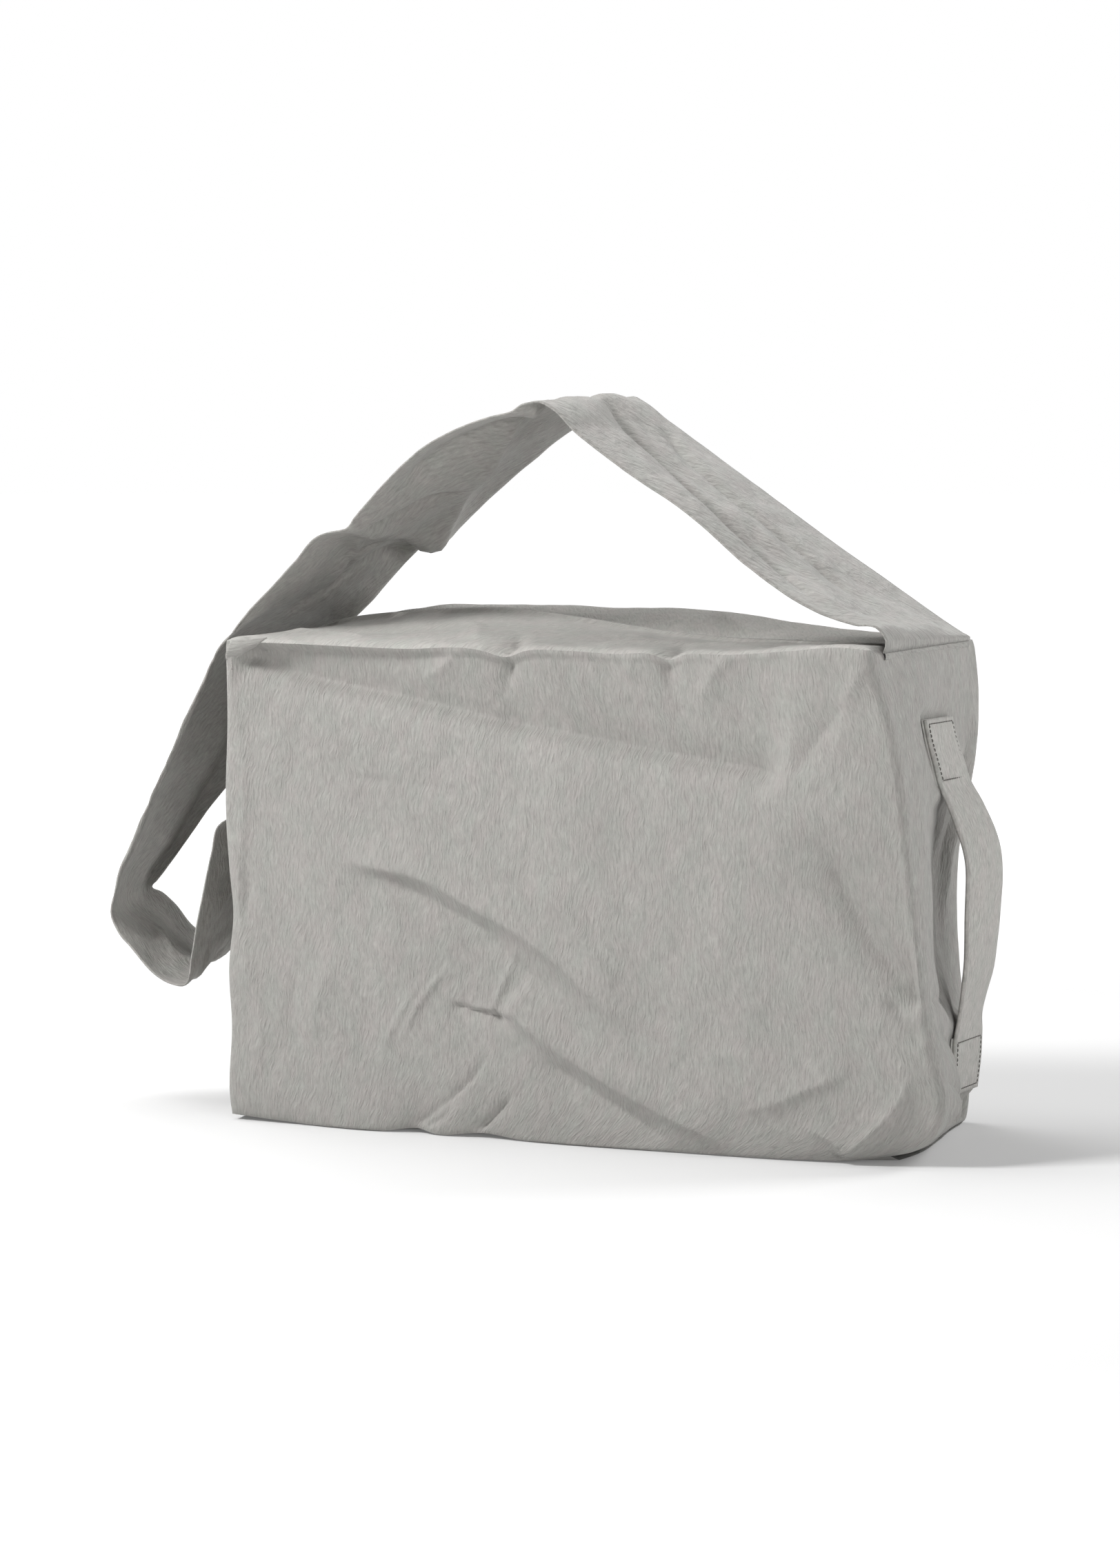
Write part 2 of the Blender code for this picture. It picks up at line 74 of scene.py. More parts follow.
EDGES = {
    "front_top": [FLT, (-2420, -1060, 3520), (-1970, -1045, 3510), (-1090, -1040, 3490), (-450, -1050, 3490),
        (-280, -1015, 3445), (-100, -1050, 3495), (220, -1040, 3500), (600, -1035, 3485), (850, -1040, 3490),
        (980, -1005, 3450), (1120, -1040, 3490), (1440, -1030, 3495), (1900, -1040, 3530),
        (2300, -1040, 3560), FRT],
    "front_base": [FLB, (-2000, -1080, 15), (-1180, -1120, 8), (-970, -1070, 35), (-780, -1120, 8),
        (-420, -1090, 35), (-100, -1120, 8), (1200, -1130, 8), (2000, -1100, 10), (2400, -1030, 20), FRB],
    "front_left": [FLB, (-2490, -1075, 200), (-2470, -1070, 700), (-2490, -1075, 1120), (-2455, -1065, 1530),
        (-2480, -1075, 1850), (-2505, -1080, 2250), (-2490, -1075, 3000), FLT],
    "front_right": [FRB, (2800, -970, 100), (2955, -1000, 200), (3030, -1020, 360), (3035, -1020, 500),
        (2990, -1030, 660), (2879, -1020, 1100), (2825, -1010, 1500), (2790, -1010, 1840),
        (2750, -1020, 2250), (2690, -1020, 2745), (2610, -1030, 3100), (2500, -1030, 3420), FRT],
    "back_top": [BLT, (-2000, 1060, 3660), (-1750, 1060, 3705), (-1380, 1060, 3715), (-800, 1060, 3715),
        (-320, 1060, 3705), (580, 1060, 3695), (1000, 1050, 3640), (1350, 1050, 3585), (2000, 1050, 3545),
        BRT],
    "back_base": [BLB, (-1500, 1100, 10), (-500, 1110, 10), (800, 1110, 10), (1800, 1090, 10), BRB],
    "back_left": [BLB, (-2500, 1075, 200), (-2500, 1080, 1800), (-2500, 1075, 3300), BLT],
    "back_right": [BRB, (2475, 1060, 200), (2480, 1060, 600), (2415, 1015, 1100), (2390, 1000, 1600),
        (2410, 1010, 2100), (2510, 1050, 2700), (2530, 1060, 3200), BRT],
    "left_base": [FLB, (-2490, 0, 20), BLB],
    "right_base": [FRB, (2660, -500, 30), (2580, 200, 30), (2500, 700, 20), BRB],
    "left_top_front": [FLT, (-2505, -500, 3520), LEFT_PEAK],
    "left_top_back": [LEFT_PEAK, (-2505, 500, 3530), BLT],
    "right_top_front": [FRT, (2510, -500, 3525), RIGHT_PEAK],
    "right_top_back": [RIGHT_PEAK, (2510, 500, 3530), BRT],
    "ridge": [LEFT_PEAK, (-2000, 0, 3645), (-1340, 20, 3710), (-770, 20, 3730), (-110, -10, 3670),
        (500, 0, 3590), (930, 10, 3550), (1600, 0, 3535), (2100, 0, 3530), RIGHT_PEAK],
}

# Folds on the front: path in (x, z), outward height, width above or left, width below or right,
# sharpness, and the shares of the path over which it fades in and out
FRONT_FOLDS = [
    ([(-244, 343), (-184, 326), (-117, 315), (-40, 300), (41, 287), (120, 275), (192, 265)], -172, 60, 10,
     0.98, 0.03, 0.06),
    ([(192, 265), (217, 299), (242, 328)], -45, 12, 10, 0.8, 0.2, 0.3),
    ([(200, 240), (223, 204), (243, 167), (266, 135), (290, 106)], -135, 36, 14, 0.97, 0.4, 0.12),
    ([(280, 120), (292, 104), (298, 92)], -60, 5, 6, 0.9, 0.2, 0.3),
    ([(262, 118), (280, 96), (292, 82)], -50, 5, 6, 0.9, 0.3, 0.3),
    ([(-170, 198), (-134, 193), (-84, 184), (-46, 166), (-8, 149), (25, 128), (57, 100), (83, 78)], 85, 28, 8,
     0.8, 0.22, 0.2),
    ([(-150, 188), (-100, 178), (-62, 160), (-20, 142)], -50, 6, 12, 0.85, 0.3, 0.3),
    ([(-5, 196), (25, 165), (51, 134), (72, 108)], 55, 12, 6, 0.85, 0.3, 0.3),
    ([(-50, 160), (-26, 136), (0, 118), (30, 100)], -50, 10, 18, 0.6, 0.3, 0.3),
    ([(-68, 96), (-45, 92), (-12, 86)], -55, 3, 5, 0.95, 0.2, 0.3),
    ([(-56, 94), (-30, 95), (-12, 90)], 30, 3, 3, 0.9, 0.3, 0.3),
    ([(-23, 101), (8, 78), (46, 57), (94, 34), (125, 20), (155, 4)], 95, 22, 9, 0.8, 0.06, 0.2),
    ([(0, 64), (40, 44), (85, 20), (110, 6)], -55, 8, 16, 0.7, 0.25, 0.2),
    ([(-66, 125), (-90, 95), (-109, 60)], 32, 4, 3, 1.0, 0.3, 0.4),
    ([(-82, 120), (-106, 85), (-126, 45)], 22, 5, 4, 1.0, 0.3, 0.4),
    ([(-10, 146), (-24, 111), (-38, 78)], 32, 3, 3, 1.0, 0.3, 0.3),
    ([(-29, 68), (-51, 40), (-84, 13), (-102, 2)], -30, 2, 5, 1.0, 0.25, 0.2),
    ([(-10, 38), (-30, 18), (-50, 0)], -50, 3, 6, 1.0, 0.4, 0.05),
    ([(-56, 30), (-74, 12), (-94, 2)], -22, 2, 4, 1.0, 0.4, 0.1),
    ([(-3, 252), (-5, 200), (-10, 160)], -12, 2, 2, 1.0, 0.4, 0.4),
    ([(-200, 262), (-120, 254), (-40, 250)], -10, 3, 3, 1.0, 0.4, 0.4),
    ([(284, 70), (276, 46), (262, 28), (246, 14), (230, 2)], 70, 7, 10, 0.9, 0.3, 0.1),
    ([(150, 28), (190, 42), (225, 58), (250, 66)], 50, 20, 8, 0.8, 0.4, 0.3),
    ([(200, 26), (224, 18), (240, 6)], 30, 6, 6, 0.8, 0.4, 0.3),
    ([(-28, 358), (-26, 336), (-32, 312)], -60, 5, 6, 0.85, 0.02, 0.6),
    ([(98, 358), (97, 338), (104, 314)], -50, 5, 5, 0.85, 0.02, 0.6),
    ([(60, 358), (70, 340), (74, 322)], 30, 6, 5, 0.8, 0.05, 0.6),
    ([(-60, 356), (-75, 338), (-110, 325)], 30, 8, 6, 0.8, 0.2, 0.5),
    ([(150, 356), (130, 330), (120, 300)], 30, 8, 10, 0.7, 0.2, 0.5),
    ([(246, 345), (232, 315), (226, 275)], 35, 8, 10, 0.7, 0.1, 0.5),
    ([(170, 262), (185, 225), (180, 180)], 25, 12, 12, 0.5, 0.2, 0.5),
    ([(-246, 330), (-234, 250), (-239, 170), (-230, 90)], 22, 5, 7, 0.7, 0.3, 0.3),
    ([(-244, 210), (-232, 180), (-238, 140)], -25, 4, 5, 0.8, 0.3, 0.3),
    ([(-242, 130), (-222, 80), (-226, 30)], 20, 5, 7, 0.7, 0.3, 0.3),
    ([(-190, 120), (-196, 80), (-188, 45)], -20, 4, 5, 0.9, 0.3, 0.4),
    ([(-150, 140), (-170, 100), (-176, 50)], 26, 14, 12, 0.6, 0.4, 0.4),
    ([(120, 200), (150, 140), (190, 90)], 34, 26, 20, 0.4, 0.4, 0.4),
]

BACK_FOLDS = [
    ([(230, 330), (120, 305), (0, 290), (-120, 280)], -70, 24, 36, 0.7, 0.1, 0.3),
    ([(-225, 250), (-190, 180), (-150, 120), (-80, 80)], -65, 18, 26, 0.7, 0.3, 0.3),
    ([(160, 190), (90, 160), (30, 120), (0, 60)], 60, 14, 26, 0.6, 0.3, 0.3),
    ([(100, 110), (140, 60), (200, 10)], -50, 10, 14, 0.7, 0.3, 0.1),
    ([(-60, 60), (-90, 20), (-100, 0)], -40, 7, 7, 0.8, 0.4, 0.1),
    ([(40, 360), (45, 330), (36, 300)], -30, 7, 7, 0.7, 0.05, 0.6),
    ([(-100, 250), (-40, 215), (10, 205)], 35, 14, 10, 0.6, 0.3, 0.4),
]

# Folds on the ends and the top: path in (y, z) or (x, y)
RIGHT_FOLDS = [
    ([(22, 250), (2, 205), (-18, 160), (-32, 121), (-36, 90)], -120, 12, 16, 0.8, 0.25, 0.2),
    ([(46, 228), (26, 190), (6, 162), (-10, 120), (-16, 92)], -120, 12, 12, 0.8, 0.25, 0.25),
    ([(34, 245), (14, 200), (-6, 160), (-22, 115)], 30, 5, 5, 0.8, 0.3, 0.3),
    ([(88, 320), (78, 260), (64, 200), (58, 130)], 45, 12, 10, 0.5, 0.2, 0.3),
    ([(70, 290), (60, 235), (50, 180)], -50, 8, 10, 0.7, 0.3, 0.3),
    ([(12, 238), (-12, 192), (-30, 150), (-44, 106)], 35, 4, 3, 1.0, 0.2, 0.2),
    ([(-4, 236), (-30, 196), (-46, 150), (-52, 116)], -45, 6, 10, 0.9, 0.2, 0.3),
    ([(-34, 104), (-62, 112), (-90, 112)], -40, 5, 6, 0.9, 0.2, 0.2),
    ([(-40, 36), (-66, 52), (-92, 60)], -35, 6, 6, 0.9, 0.2, 0.2),
    ([(-20, 300), (-50, 325), (-80, 345)], 22, 12, 10, 0.5, 0.2, 0.4),
    ([(20, 304), (40, 330), (60, 350)], 25, 10, 10, 0.5, 0.2, 0.4),
    ([(-30, 50), (-60, 40), (-90, 20)], 40, 12, 10, 0.5, 0.2, 0.3),
    ([(-30, 76), (-60, 84), (-92, 96)], -40, 8, 10, 0.7, 0.2, 0.3),
    ([(30, 40), (56, 20), (66, 0)], -45, 7, 7, 0.7, 0.2, 0.2),
    ([(104, 50), (90, 26), (94, 0)], -85, 5, 7, 0.8, 0.2, 0.1),
    ([(-60, 300), (-72, 240), (-70, 180)], 20, 14, 12, 0.4, 0.4, 0.4),
]

LEFT_FOLDS = [
    ([(-60, 330), (-30, 260), (-10, 180), (-20, 100)], -60, 12, 16, 0.7, 0.2, 0.3),
    ([(70, 320), (50, 240), (40, 150), (60, 80)], -50, 12, 12, 0.7, 0.2, 0.3),
    ([(-90, 120), (-60, 60), (-30, 20)], 20, 12, 10, 0.5, 0.3, 0.3),
    ([(100, 110), (70, 50), (60, 0)], -40, 7, 9, 0.7, 0.3, 0.1),
]

TOP_FOLDS = [
    ([(-28, -108), (-25, -90), (-34, -60)], -50, 6, 7, 0.7, 0.02, 0.6),
    ([(98, -106), (101, -88), (92, -60)], -40, 6, 7, 0.7, 0.02, 0.6),
    ([(-230, -90), (-170, -60), (-110, -50), (-50, -20)], -30, 12, 14, 0.6, 0.3, 0.3),
    ([(20, -70), (70, -50), (130, -45)], -22, 10, 10, 0.6, 0.3, 0.3),
    ([(-120, 40), (-60, 70), (0, 80)], -30, 12, 12, 0.6, 0.3, 0.3),
    ([(120, 30), (80, 60), (50, 100)], 30, 10, 10, 0.6, 0.3, 0.3),
    ([(-215, 20), (-180, 50), (-150, 100)], 25, 12, 10, 0.6, 0.3, 0.3),
    ([(-244, -96), (-205, -90), (-170, -104)], -45, 6, 10, 0.9, 0.1, 0.2),
    ([(-238, -60), (-190, -70), (-140, -95)], 40, 10, 12, 0.7, 0.3, 0.2),
    ([(-110, -30), (-70, -60), (-55, -95)], 35, 14, 10, 0.7, 0.3, 0.2),
    ([(30, -98), (60, -70), (120, -60), (170, -80)], 30, 10, 10, 0.7, 0.2, 0.3),
]

# Strap: near edge, far edge, how far seven points across it stand out, and how far it is folded to a channel
FLAT_STRAP = (0, 0, 0, 0, 0, 0, 0)
DROP = (-2, 0, 5, 7, 4, 0, -11.5)
STRAP_STATIONS = [
    ((2525, -860, 3520), (2525, 860, 3540), FLAT_STRAP, 0),
    ((2550, -870, 3590), (2545, 860, 3560), FLAT_STRAP, 0),
    ((2500, -880, 3680), (2490, 860, 3590), FLAT_STRAP, 0),
    ((2320, -880, 3715), (2320, 860, 3690), (0, 1, -1, -1, 1, 1, 0), 0),
    ((2077, -880, 3786), (2030, 860, 3880), (0, 4, 2, -1, 0, 1, 0), 0),
    ((1511, -860, 4113), (1500, 860, 4225), (0, 3, -3, 2, 3, 2, 0), 0),
    ((1094, -860, 4445), (1094, 860, 4502), (0, 3, -4, 0, 3, 2, 0), 0),
    ((567, -860, 4780), (567, 860, 4860), (0, 5, 2, -4, 2, 3, 0), 0),
    ((194, -860, 5046), (180, 860, 5125), (0, 4, 4, -1, -3, 2, 0), 0),
    ((10, -860, 5210), (-40, 860, 5280), (0, 2, 3, 2, -1, 1, 0), 0),
    ((-70, -860, 5250), (-110, 860, 5310), (0, 1, 2, 2, 1, 0, 0), 0),
    ((-190, -860, 5240), (-290, 860, 5240), (0, 2, 2, 1, 0, 1, 0), 0),
    ((-540, -860, 5140), (-660, 860, 5038), (0, 2, 3, 0, -3, 0, 0), 0),
    ((-1000, -860, 4922), (-982, 860, 4799), (0, 2, 0, -4, -2, 2, 0), 0),
    ((-1310, -860, 4677), (-1250, 850, 4588), (0, 1, -2, -3, 2, 3, 0), 0),
    ((-1560, -850, 4430), (-1566, 840, 4341), (0, -2, -5, -1, 3, 1, 0), 0),
    ((-1652, -840, 4336), (-1733, 820, 4213), (0, -3, -6, 0, 2, -3, 0), 0),
    ((-1755, -840, 4318), (-1816, 810, 4207), (0, 2, -3, -2, 1, 1, 0), 0),
    ((-1857, -840, 4289), (-1905, 810, 4133), (0, 3, 1, -3, 0, 3, 0), 0),
    ((-2057, -840, 4098), (-2119, 810, 3924), (0, 3, 2, -2, 1, 3, 0), 0),
    ((-2285, -790, 3902), (-2311, 800, 3731), (0, 3, 3, 0, 2, 4, 0), 0.1),
    ((-2548, -680, 3718), (-2522, 760, 3585), (0, 0, 4, 3, 5, 4, -4), 0.5),
    ((-2797, -590, 3506), (-2820, 670, 3420), (-2, 0, 6, 6, 5, 3, -14), 1),
    ((-3074, -520, 3065), (-3150, 560, 3000), (-2, 0, 6, 8, 4, 0, -19), 1),
    ((-3368, -500, 2506), (-3440, 520, 2506), (-2, 0, 5, 7, 4, 0, -16), 1),
    ((-3513, -500, 2226), (-3637, 500, 2207), DROP, 1),
    ((-3654, -500, 1923), (-3801, 440, 1905), (-2, 0, 4, 6, 4, 0, -8), 1),
    ((-3800, -480, 1627), (-3934, 270, 1620), (-1, 0, 3, 4, 3, 0, -7), 1),
    ((-3857, -460, 1386), (-3904, 250, 1530), (0, 1, 3, 5, 6, 3, 0), 0.5),
    ((-3785, -470, 1264), (-3840, 280, 1500), (0, 1, 2, 3, 4, 2, 0), 0.1),
    ((-3672, -480, 1160), (-3745, 310, 1420), (0, 3, 3, -2, 1, 2, 0), 0),
    ((-3458, -500, 968), (-3608, 360, 1243), (0, 3, 3, -3, 1, 2, 0), 0),
    ((-3309, -500, 900), (-3480, 400, 1140), (0, 2, 2, -1, 1, 1, 0), 0),
    ((-3190, -500, 900), (-3350, 420, 1080), (0, 1, 1, 1, 1, 0, 0), 0),
    ((-3135, -500, 1125), (-3210, 460, 1180), (0, 2, 2, 2, 2, 1, 0), 0),
    ((-3073, -500, 1425), (-3080, 480, 1450), (0, 3, 1, 3, 3, 2, 0), 0),
    ((-3012, -500, 1677), (-2990, 500, 1700), (0, 3, 2, 3, 4, 2, 0), 0),
    ((-2952, -500, 1898), (-2930, 500, 1920), (0, 3, 1, 2, 3, 2, 0), 0),
    ((-2888, -500, 2110), (-2880, 500, 2130), (0, 2, 0, 0, 2, 1, 0), 0),
    ((-2790, -420, 2190), (-2790, 480, 2250), (0, 1, -1, 0, 1, 1, 0), 0),
    ((-2710, -400, 2450), (-2710, 460, 2500), (0, 2, 3, 3, 2, 1, 0), 0),
    ((-2620, -460, 2900), (-2620, 520, 2900), (0, 1, 1, 0, 1, 1, 0), 0),
    ((-2565, -640, 3300), (-2570, 700, 3300), FLAT_STRAP, 0),
    ((-2535, -800, 3500), (-2535, 800, 3500), FLAT_STRAP, 0),
]
STRAP_ACROSS = np.array([(0.0, 0.16, 0.33, 0.50, 0.67, 0.84, 1.0), (0.02, 0.0, 0.16, 0.50, 0.86, 1.0, 1.0)])
STRAP_SHARE = np.array([0.0, 0.13, 0.30, 0.50, 0.70, 0.87, 1.0])

# Folds on the flat strap: path in (run, width) from the right seam and the near edge
STRAP_FOLDS = [
    ([(330, 120), (270, 88), (200, 58), (130, 36), (60, 8)], -60, 14, 5, 0.9, 0.1, 0.15),
    ([(300, 160), (240, 120), (190, 104), (130, 100), (50, 85)], -48, 12, 6, 0.9, 0.2, 0.2),
    ([(210, 75), (150, 72), (100, 60), (70, 40)], 35, 10, 10, 0.7, 0.3, 0.2),
    ([(338, 6), (400, 70), (450, 112), (500, 148), (528, 166)], -110, 18, 36, 0.97, 0.05, 0.05),
    ([(345, 46), (400, 40), (450, 34), (480, 10)], 85, 10, 30, 0.9, 0.15, 0.3),
    ([(530, 4), (505, 36), (478, 74), (455, 110)], 120, 5, 20, 0.97, 0.35, 0.25),
    ([(536, 40), (545, 66), (565, 80)], -60, 5, 5, 0.95, 0.3, 0.3),
    ([(530, 100), (545, 85), (580, 94)], 65, 5, 6, 0.9, 0.3, 0.3),
    ([(548, 170), (560, 120), (600, 95), (650, 70)], 95, 8, 20, 0.95, 0.05, 0.3),
    ([(575, 20), (610, 50), (640, 40)], -30, 10, 10, 0.8, 0.3, 0.3),
    ([(925, 85), (950, 70), (985, 90), (1000, 110)], -45, 10, 8, 0.9, 0.1, 0.3),
    ([(955, 10), (985, 40), (1010, 50)], 30, 8, 8, 0.8, 0.3, 0.3),
    ([(1020, 30), (1060, 60), (1100, 50)], 35, 10, 8, 0.8, 0.3, 0.3),
]

# Grab handles: middle line in (x, z) from the upper end down, with the half width's twist in x
RIGHT_HANDLE = np.array([(2615, 3030, 0), (2650, 2880, 4), (2695, 2730, 8), (2745, 2570, 14),
    (2830, 2420, 26), (2900, 2270, 34), (2955, 2100, 36), (2968, 1700, 30), (2930, 1240, 10),
    (2890, 1030, -10), (2866, 900, -10), (2855, 800, 0), (2848, 620, 0), (2822, 390, 0)]) / TENTHS
LEFT_HANDLE = np.array([(-2535, 3030, 0), (-2538, 2800, 0), (-2550, 2570, 0), (-2600, 2450, 0),
    (-2650, 2340, 0), (-2735, 2060, 0), (-2775, 1700, 0), (-2745, 1280, 0), (-2660, 1030, 0), (-2575, 880, 0),
    (-2545, 800, 0), (-2535, 600, 0), (-2530, 390, 0)]) / TENTHS
HANDLE_HALF, HANDLE_THICK, HANDLE_CURL = 0.0275, 0.0022, 0.0012
HANDLE_ROWS, HANDLE_COLUMNS = 120, 15
UPPER_TAB, LOWER_TAB = (0.2570, 0.3030), (0.0390, 0.0800)
STITCH_PITCH, STITCH_LONG, STITCH_THICK, STITCH_INSET = 0.0034, 0.0026, 0.00045, 0.0034

# Zip: coil, then tape, then the half lengths of the mouth's tapes and of all the tapes
COIL_HALF, COIL_TURNS, COIL_STEPS, COIL_WIRE = 0.1595, 145, 9, 0.00036
COIL_Y, COIL_WIDE, COIL_Z, COIL_HIGH = 0.00245, 0.00095, 0.34325, 0.00085
TAPE_INNER, TAPE_OUTER, TAPE_Z, TAPE_THICK = 0.0041, 0.0280, 0.3430, 0.0006
MOUTH_HALF, END_TAPE_START, ZIP_HALF = 0.160, 0.1606, 0.235

# Lights: place, size and power
LIGHTS = {"key": ((-2.0, -1.9, 2.5), (1.0, 1.0), 132.0), "fill": ((2.7, -2.3, 0.9), (1.6, 1.4), 44.0),
          "top": ((-1.2, 0.4, 2.6), (1.8, 1.8), 52.0), "rear": ((1.9, 2.3, 2.1), (1.4, 1.4), 62.0)}
WORLD_LIGHT = 0.14
FLOOR_HALF, FLOOR_WHITE = 60.0, (0.9, 3.4)


def smooth_step(t):
    t = np.clip(t, 0.0, 1.0)
    return t * t * (3 - 2 * t)


def through(knots, count):
    """A smooth curve through knots, as points spaced evenly by chord length."""
    knots = np.asarray(knots, float)
    run = np.concatenate([[0.0], np.cumsum(np.linalg.norm(np.diff(knots[:, :3], axis=0), axis=1))])
    x = np.linspace(0, 1, count) * run[-1]
    slope = np.gradient(knots, run, axis=0)
    k = np.clip(np.searchsorted(run, x, side="right") - 1, 0, len(run) - 2)
    h = (run[k + 1] - run[k])[:, None]
    t = ((x - run[k]) / h[:, 0])[:, None]
    return (knots[k] * (1 + 2 * t) * (1 - t) ** 2 + slope[k] * h * t * (1 - t) ** 2
            + knots[k + 1] * t * t * (3 - 2 * t) + slope[k + 1] * h * t * t * (t - 1))


def noise(u, v, cell_u, cell_v, seed):
    """Smooth random height from about -1 to 1 over cells of the given size."""
    turns = np.random.RandomState(seed).uniform(0, 2 * math.pi, (61, 67))
    a, b = u / cell_u + 500, v / cell_v + 500
    i, j = np.floor(a).astype(int), np.floor(b).astype(int)
    p, q = a - i, b - j
    fade_p, fade_q = p ** 3 * (p * (6 * p - 15) + 10), q ** 3 * (q * (6 * q - 15) + 10)

    def corner(di, dj):
        angle = turns[(i + di) % 61, (j + dj) % 67]
        return np.cos(angle) * (p - di) + np.sin(angle) * (q - dj)

    low = corner(0, 0) * (1 - fade_p) + corner(1, 0) * fade_p
    high = corner(0, 1) * (1 - fade_p) + corner(1, 1) * fade_p
    return 1.6 * (low * (1 - fade_q) + high * fade_q)


def crumple(u, v, size, seed):
    """Creased cloth: soft swells with sharp lines where they meet."""
    bend = 0.35 * size * noise(u, v, size * 1.3, size * 1.3, seed + 7)
    big = np.abs(noise(u + bend, v - bend, size, size * 1.4, seed))
    small = np.abs(noise(u - bend, v + bend, size * 0.45, size * 0.6, seed + 3))
    return (0.75 * big + 0.25 * small) - 0.30


def fold(u, v, path, height, left, right, sharp, fade_in, fade_out):
    """One fold along a smooth path, steeper on the side with the smaller width."""
    line = through([(a / 1000, b / 1000, 0.0) for a, b in path], max(8, 6 * len(path)))[:, :2]
    height, left, right = height / TENTHS, left / 1000, right / 1000
    best = np.full(u.shape, 1e9)
    side = np.zeros(u.shape)
    share = np.zeros(u.shape)
    for k in range(len(line) - 1):
        a, d = line[k], line[k + 1] - line[k]
        t = np.clip(((u - a[0]) * d[0] + (v - a[1]) * d[1]) / (d @ d), 0, 1)
        du, dv = u - a[0] - t * d[0], v - a[1] - t * d[1]
        gap = np.hypot(du, dv)
        closer = gap < best
        best = np.where(closer, gap, best)
        side = np.where(closer, d[0] * dv - d[1] * du, side)
        share = np.where(closer, (k + t) / (len(line) - 1), share)
    q = best / np.where(side > 0, left, right)
    q = np.sqrt(q * q + 0.004)
    shape = sharp * np.exp(-1.5 * q) + (1 - sharp) * np.exp(-q * q)
    return height * shape * smooth_step(share / fade_in) * smooth_step((1 - share) / fade_out)


def dome(distance, radius):
    """From 0 at an edge to 1 past a radius, as a rounded edge rises."""
    t = np.clip(distance / radius, 0, 1)
    return np.sqrt(1 - (1 - t) ** 2)


def clear_of(reach, *gaps):
    """1 well inside, falling to 0 where any of the gaps to the edges closes."""
    share = 1.0
    for gap in gaps:
        share = share * smooth_step(gap / reach)
    return share


def calm(curve):
    """The curve without its short bends, keeping both ends in place."""
    reach = len(curve) // 10
    long = np.concatenate([2 * curve[0] - curve[reach:0:-1], curve, 2 * curve[-1] - curve[-2:-reach - 2:-1]])
    run = np.concatenate([np.zeros((1, 3)), np.cumsum(long, 0)])
    width = 2 * reach + 1
    return (run[width:] - run[:-width]) / width


def coons(base, top, left, right):
    """A surface spanning four edge curves that share their corners; short bends stay near their edge."""
    u = np.linspace(0, 1, len(base))[:, None, None]
    v = np.linspace(0, 1, len(left))[None, :, None]
    local = [(base - calm(base))[:, None] * (1 - v) ** 9, (top - calm(top))[:, None] * v ** 9,
             (left - calm(left))[None] * (1 - u) ** 9, (right - calm(right))[None] * u ** 9]
    base, top, left, right = calm(base), calm(top), calm(left), calm(right)
    sides = (1 - v) * base[:, None] + v * top[:, None] + (1 - u) * left[None] + u * right[None]
    return sides + sum(local) - ((1 - u) * (1 - v) * base[0] + u * (1 - v) * base[-1]
                                 + (1 - u) * v * top[0] + u * v * top[-1])


def run_along(points, axis):
    """Distance along a grid's rows or columns from their first point."""
    steps = np.linalg.norm(np.diff(points, axis=axis), axis=2)
    start = np.zeros((1, steps.shape[1]) if axis == 0 else (steps.shape[0], 1))
    return np.concatenate([start, np.cumsum(steps, axis)], axis)


def linked(mesh, name, surface):
    """A smooth-shaded object of one material from a mesh."""
    mesh.polygons.foreach_set("use_smooth", np.ones(len(mesh.polygons), bool))
    mesh.materials.append(surface)
    mesh.update()
    obj = bpy.data.objects.new(name, mesh)
    bpy.context.scene.collection.objects.link(obj)
    return obj


def grid_object(name, points, surface, thick=0.0, flat_turn=False):
    """A sheet from a grid of points, with its flat size in metres as its UVs."""
    nu, nv = points.shape[:2]
    index = np.arange(nu * nv).reshape(nu, nv)
    quads = np.stack([index[:-1, :-1], index[1:, :-1], index[1:, 1:], index[:-1, 1:]], -1).reshape(-1, 4)
    mesh = bpy.data.meshes.new(name)
    mesh.from_pydata(points.reshape(-1, 3).tolist(), [], quads.tolist())
    flat_u = np.broadcast_to(run_along(points, 0).mean(1)[:, None], (nu, nv))
    flat_v = np.broadcast_to(run_along(points, 1).mean(0)[None, :], (nu, nv))
    flat = np.stack([flat_v, flat_u] if flat_turn else [flat_u, flat_v], -1).reshape(-1, 2)
    layer = mesh.uv_layers.new(name="flat")
    layer.data.foreach_set("uv", flat[quads.reshape(-1)].astype(np.float32).reshape(-1))
    obj = linked(mesh, name, surface)
    if thick:
        shell = obj.modifiers.new("cloth", "SOLIDIFY")
        shell.thickness = thick
        shell.offset = 0.0
    return obj


def mesh_object(name, verts, faces, surface):
    mesh = bpy.data.meshes.new(name)
    mesh.from_pydata([tuple(v) for v in verts], [], faces)
    return linked(mesh, name, surface)


# Materials

def node(tree, kind, **values):
    made = tree.nodes.new("ShaderNode" + kind)
    for key, value in values.items():
        if key in made.inputs:
            made.inputs[key].default_value = value
        else:
            setattr(made, key, value)
    return made


def new_surface(name):
    made = bpy.data.materials.new(name)
    made.use_nodes = True
    return made, made.node_tree, made.node_tree.nodes["Principled BSDF"]


def put(target, **values):
    """Sets a node's inputs, with spaces in their names as underscores."""
    for key, value in values.items():
        target.inputs[key.replace("_", " ")].default_value = value


def noise_node(tree, vector, scale, detail=3.0, rough=0.6):
    """Noise over the flat cloth, stretched by different scales across and along."""
    mapping = node(tree, "Mapping", Scale=(*scale, 1.0))
    tree.links.new(vector, mapping.inputs["Vector"])
    made = node(tree, "TexNoise", Scale=1.0, Detail=detail, Roughness=rough)
    tree.links.new(mapping.outputs["Vector"], made.inputs["Vector"])
    return made.outputs["Fac"]


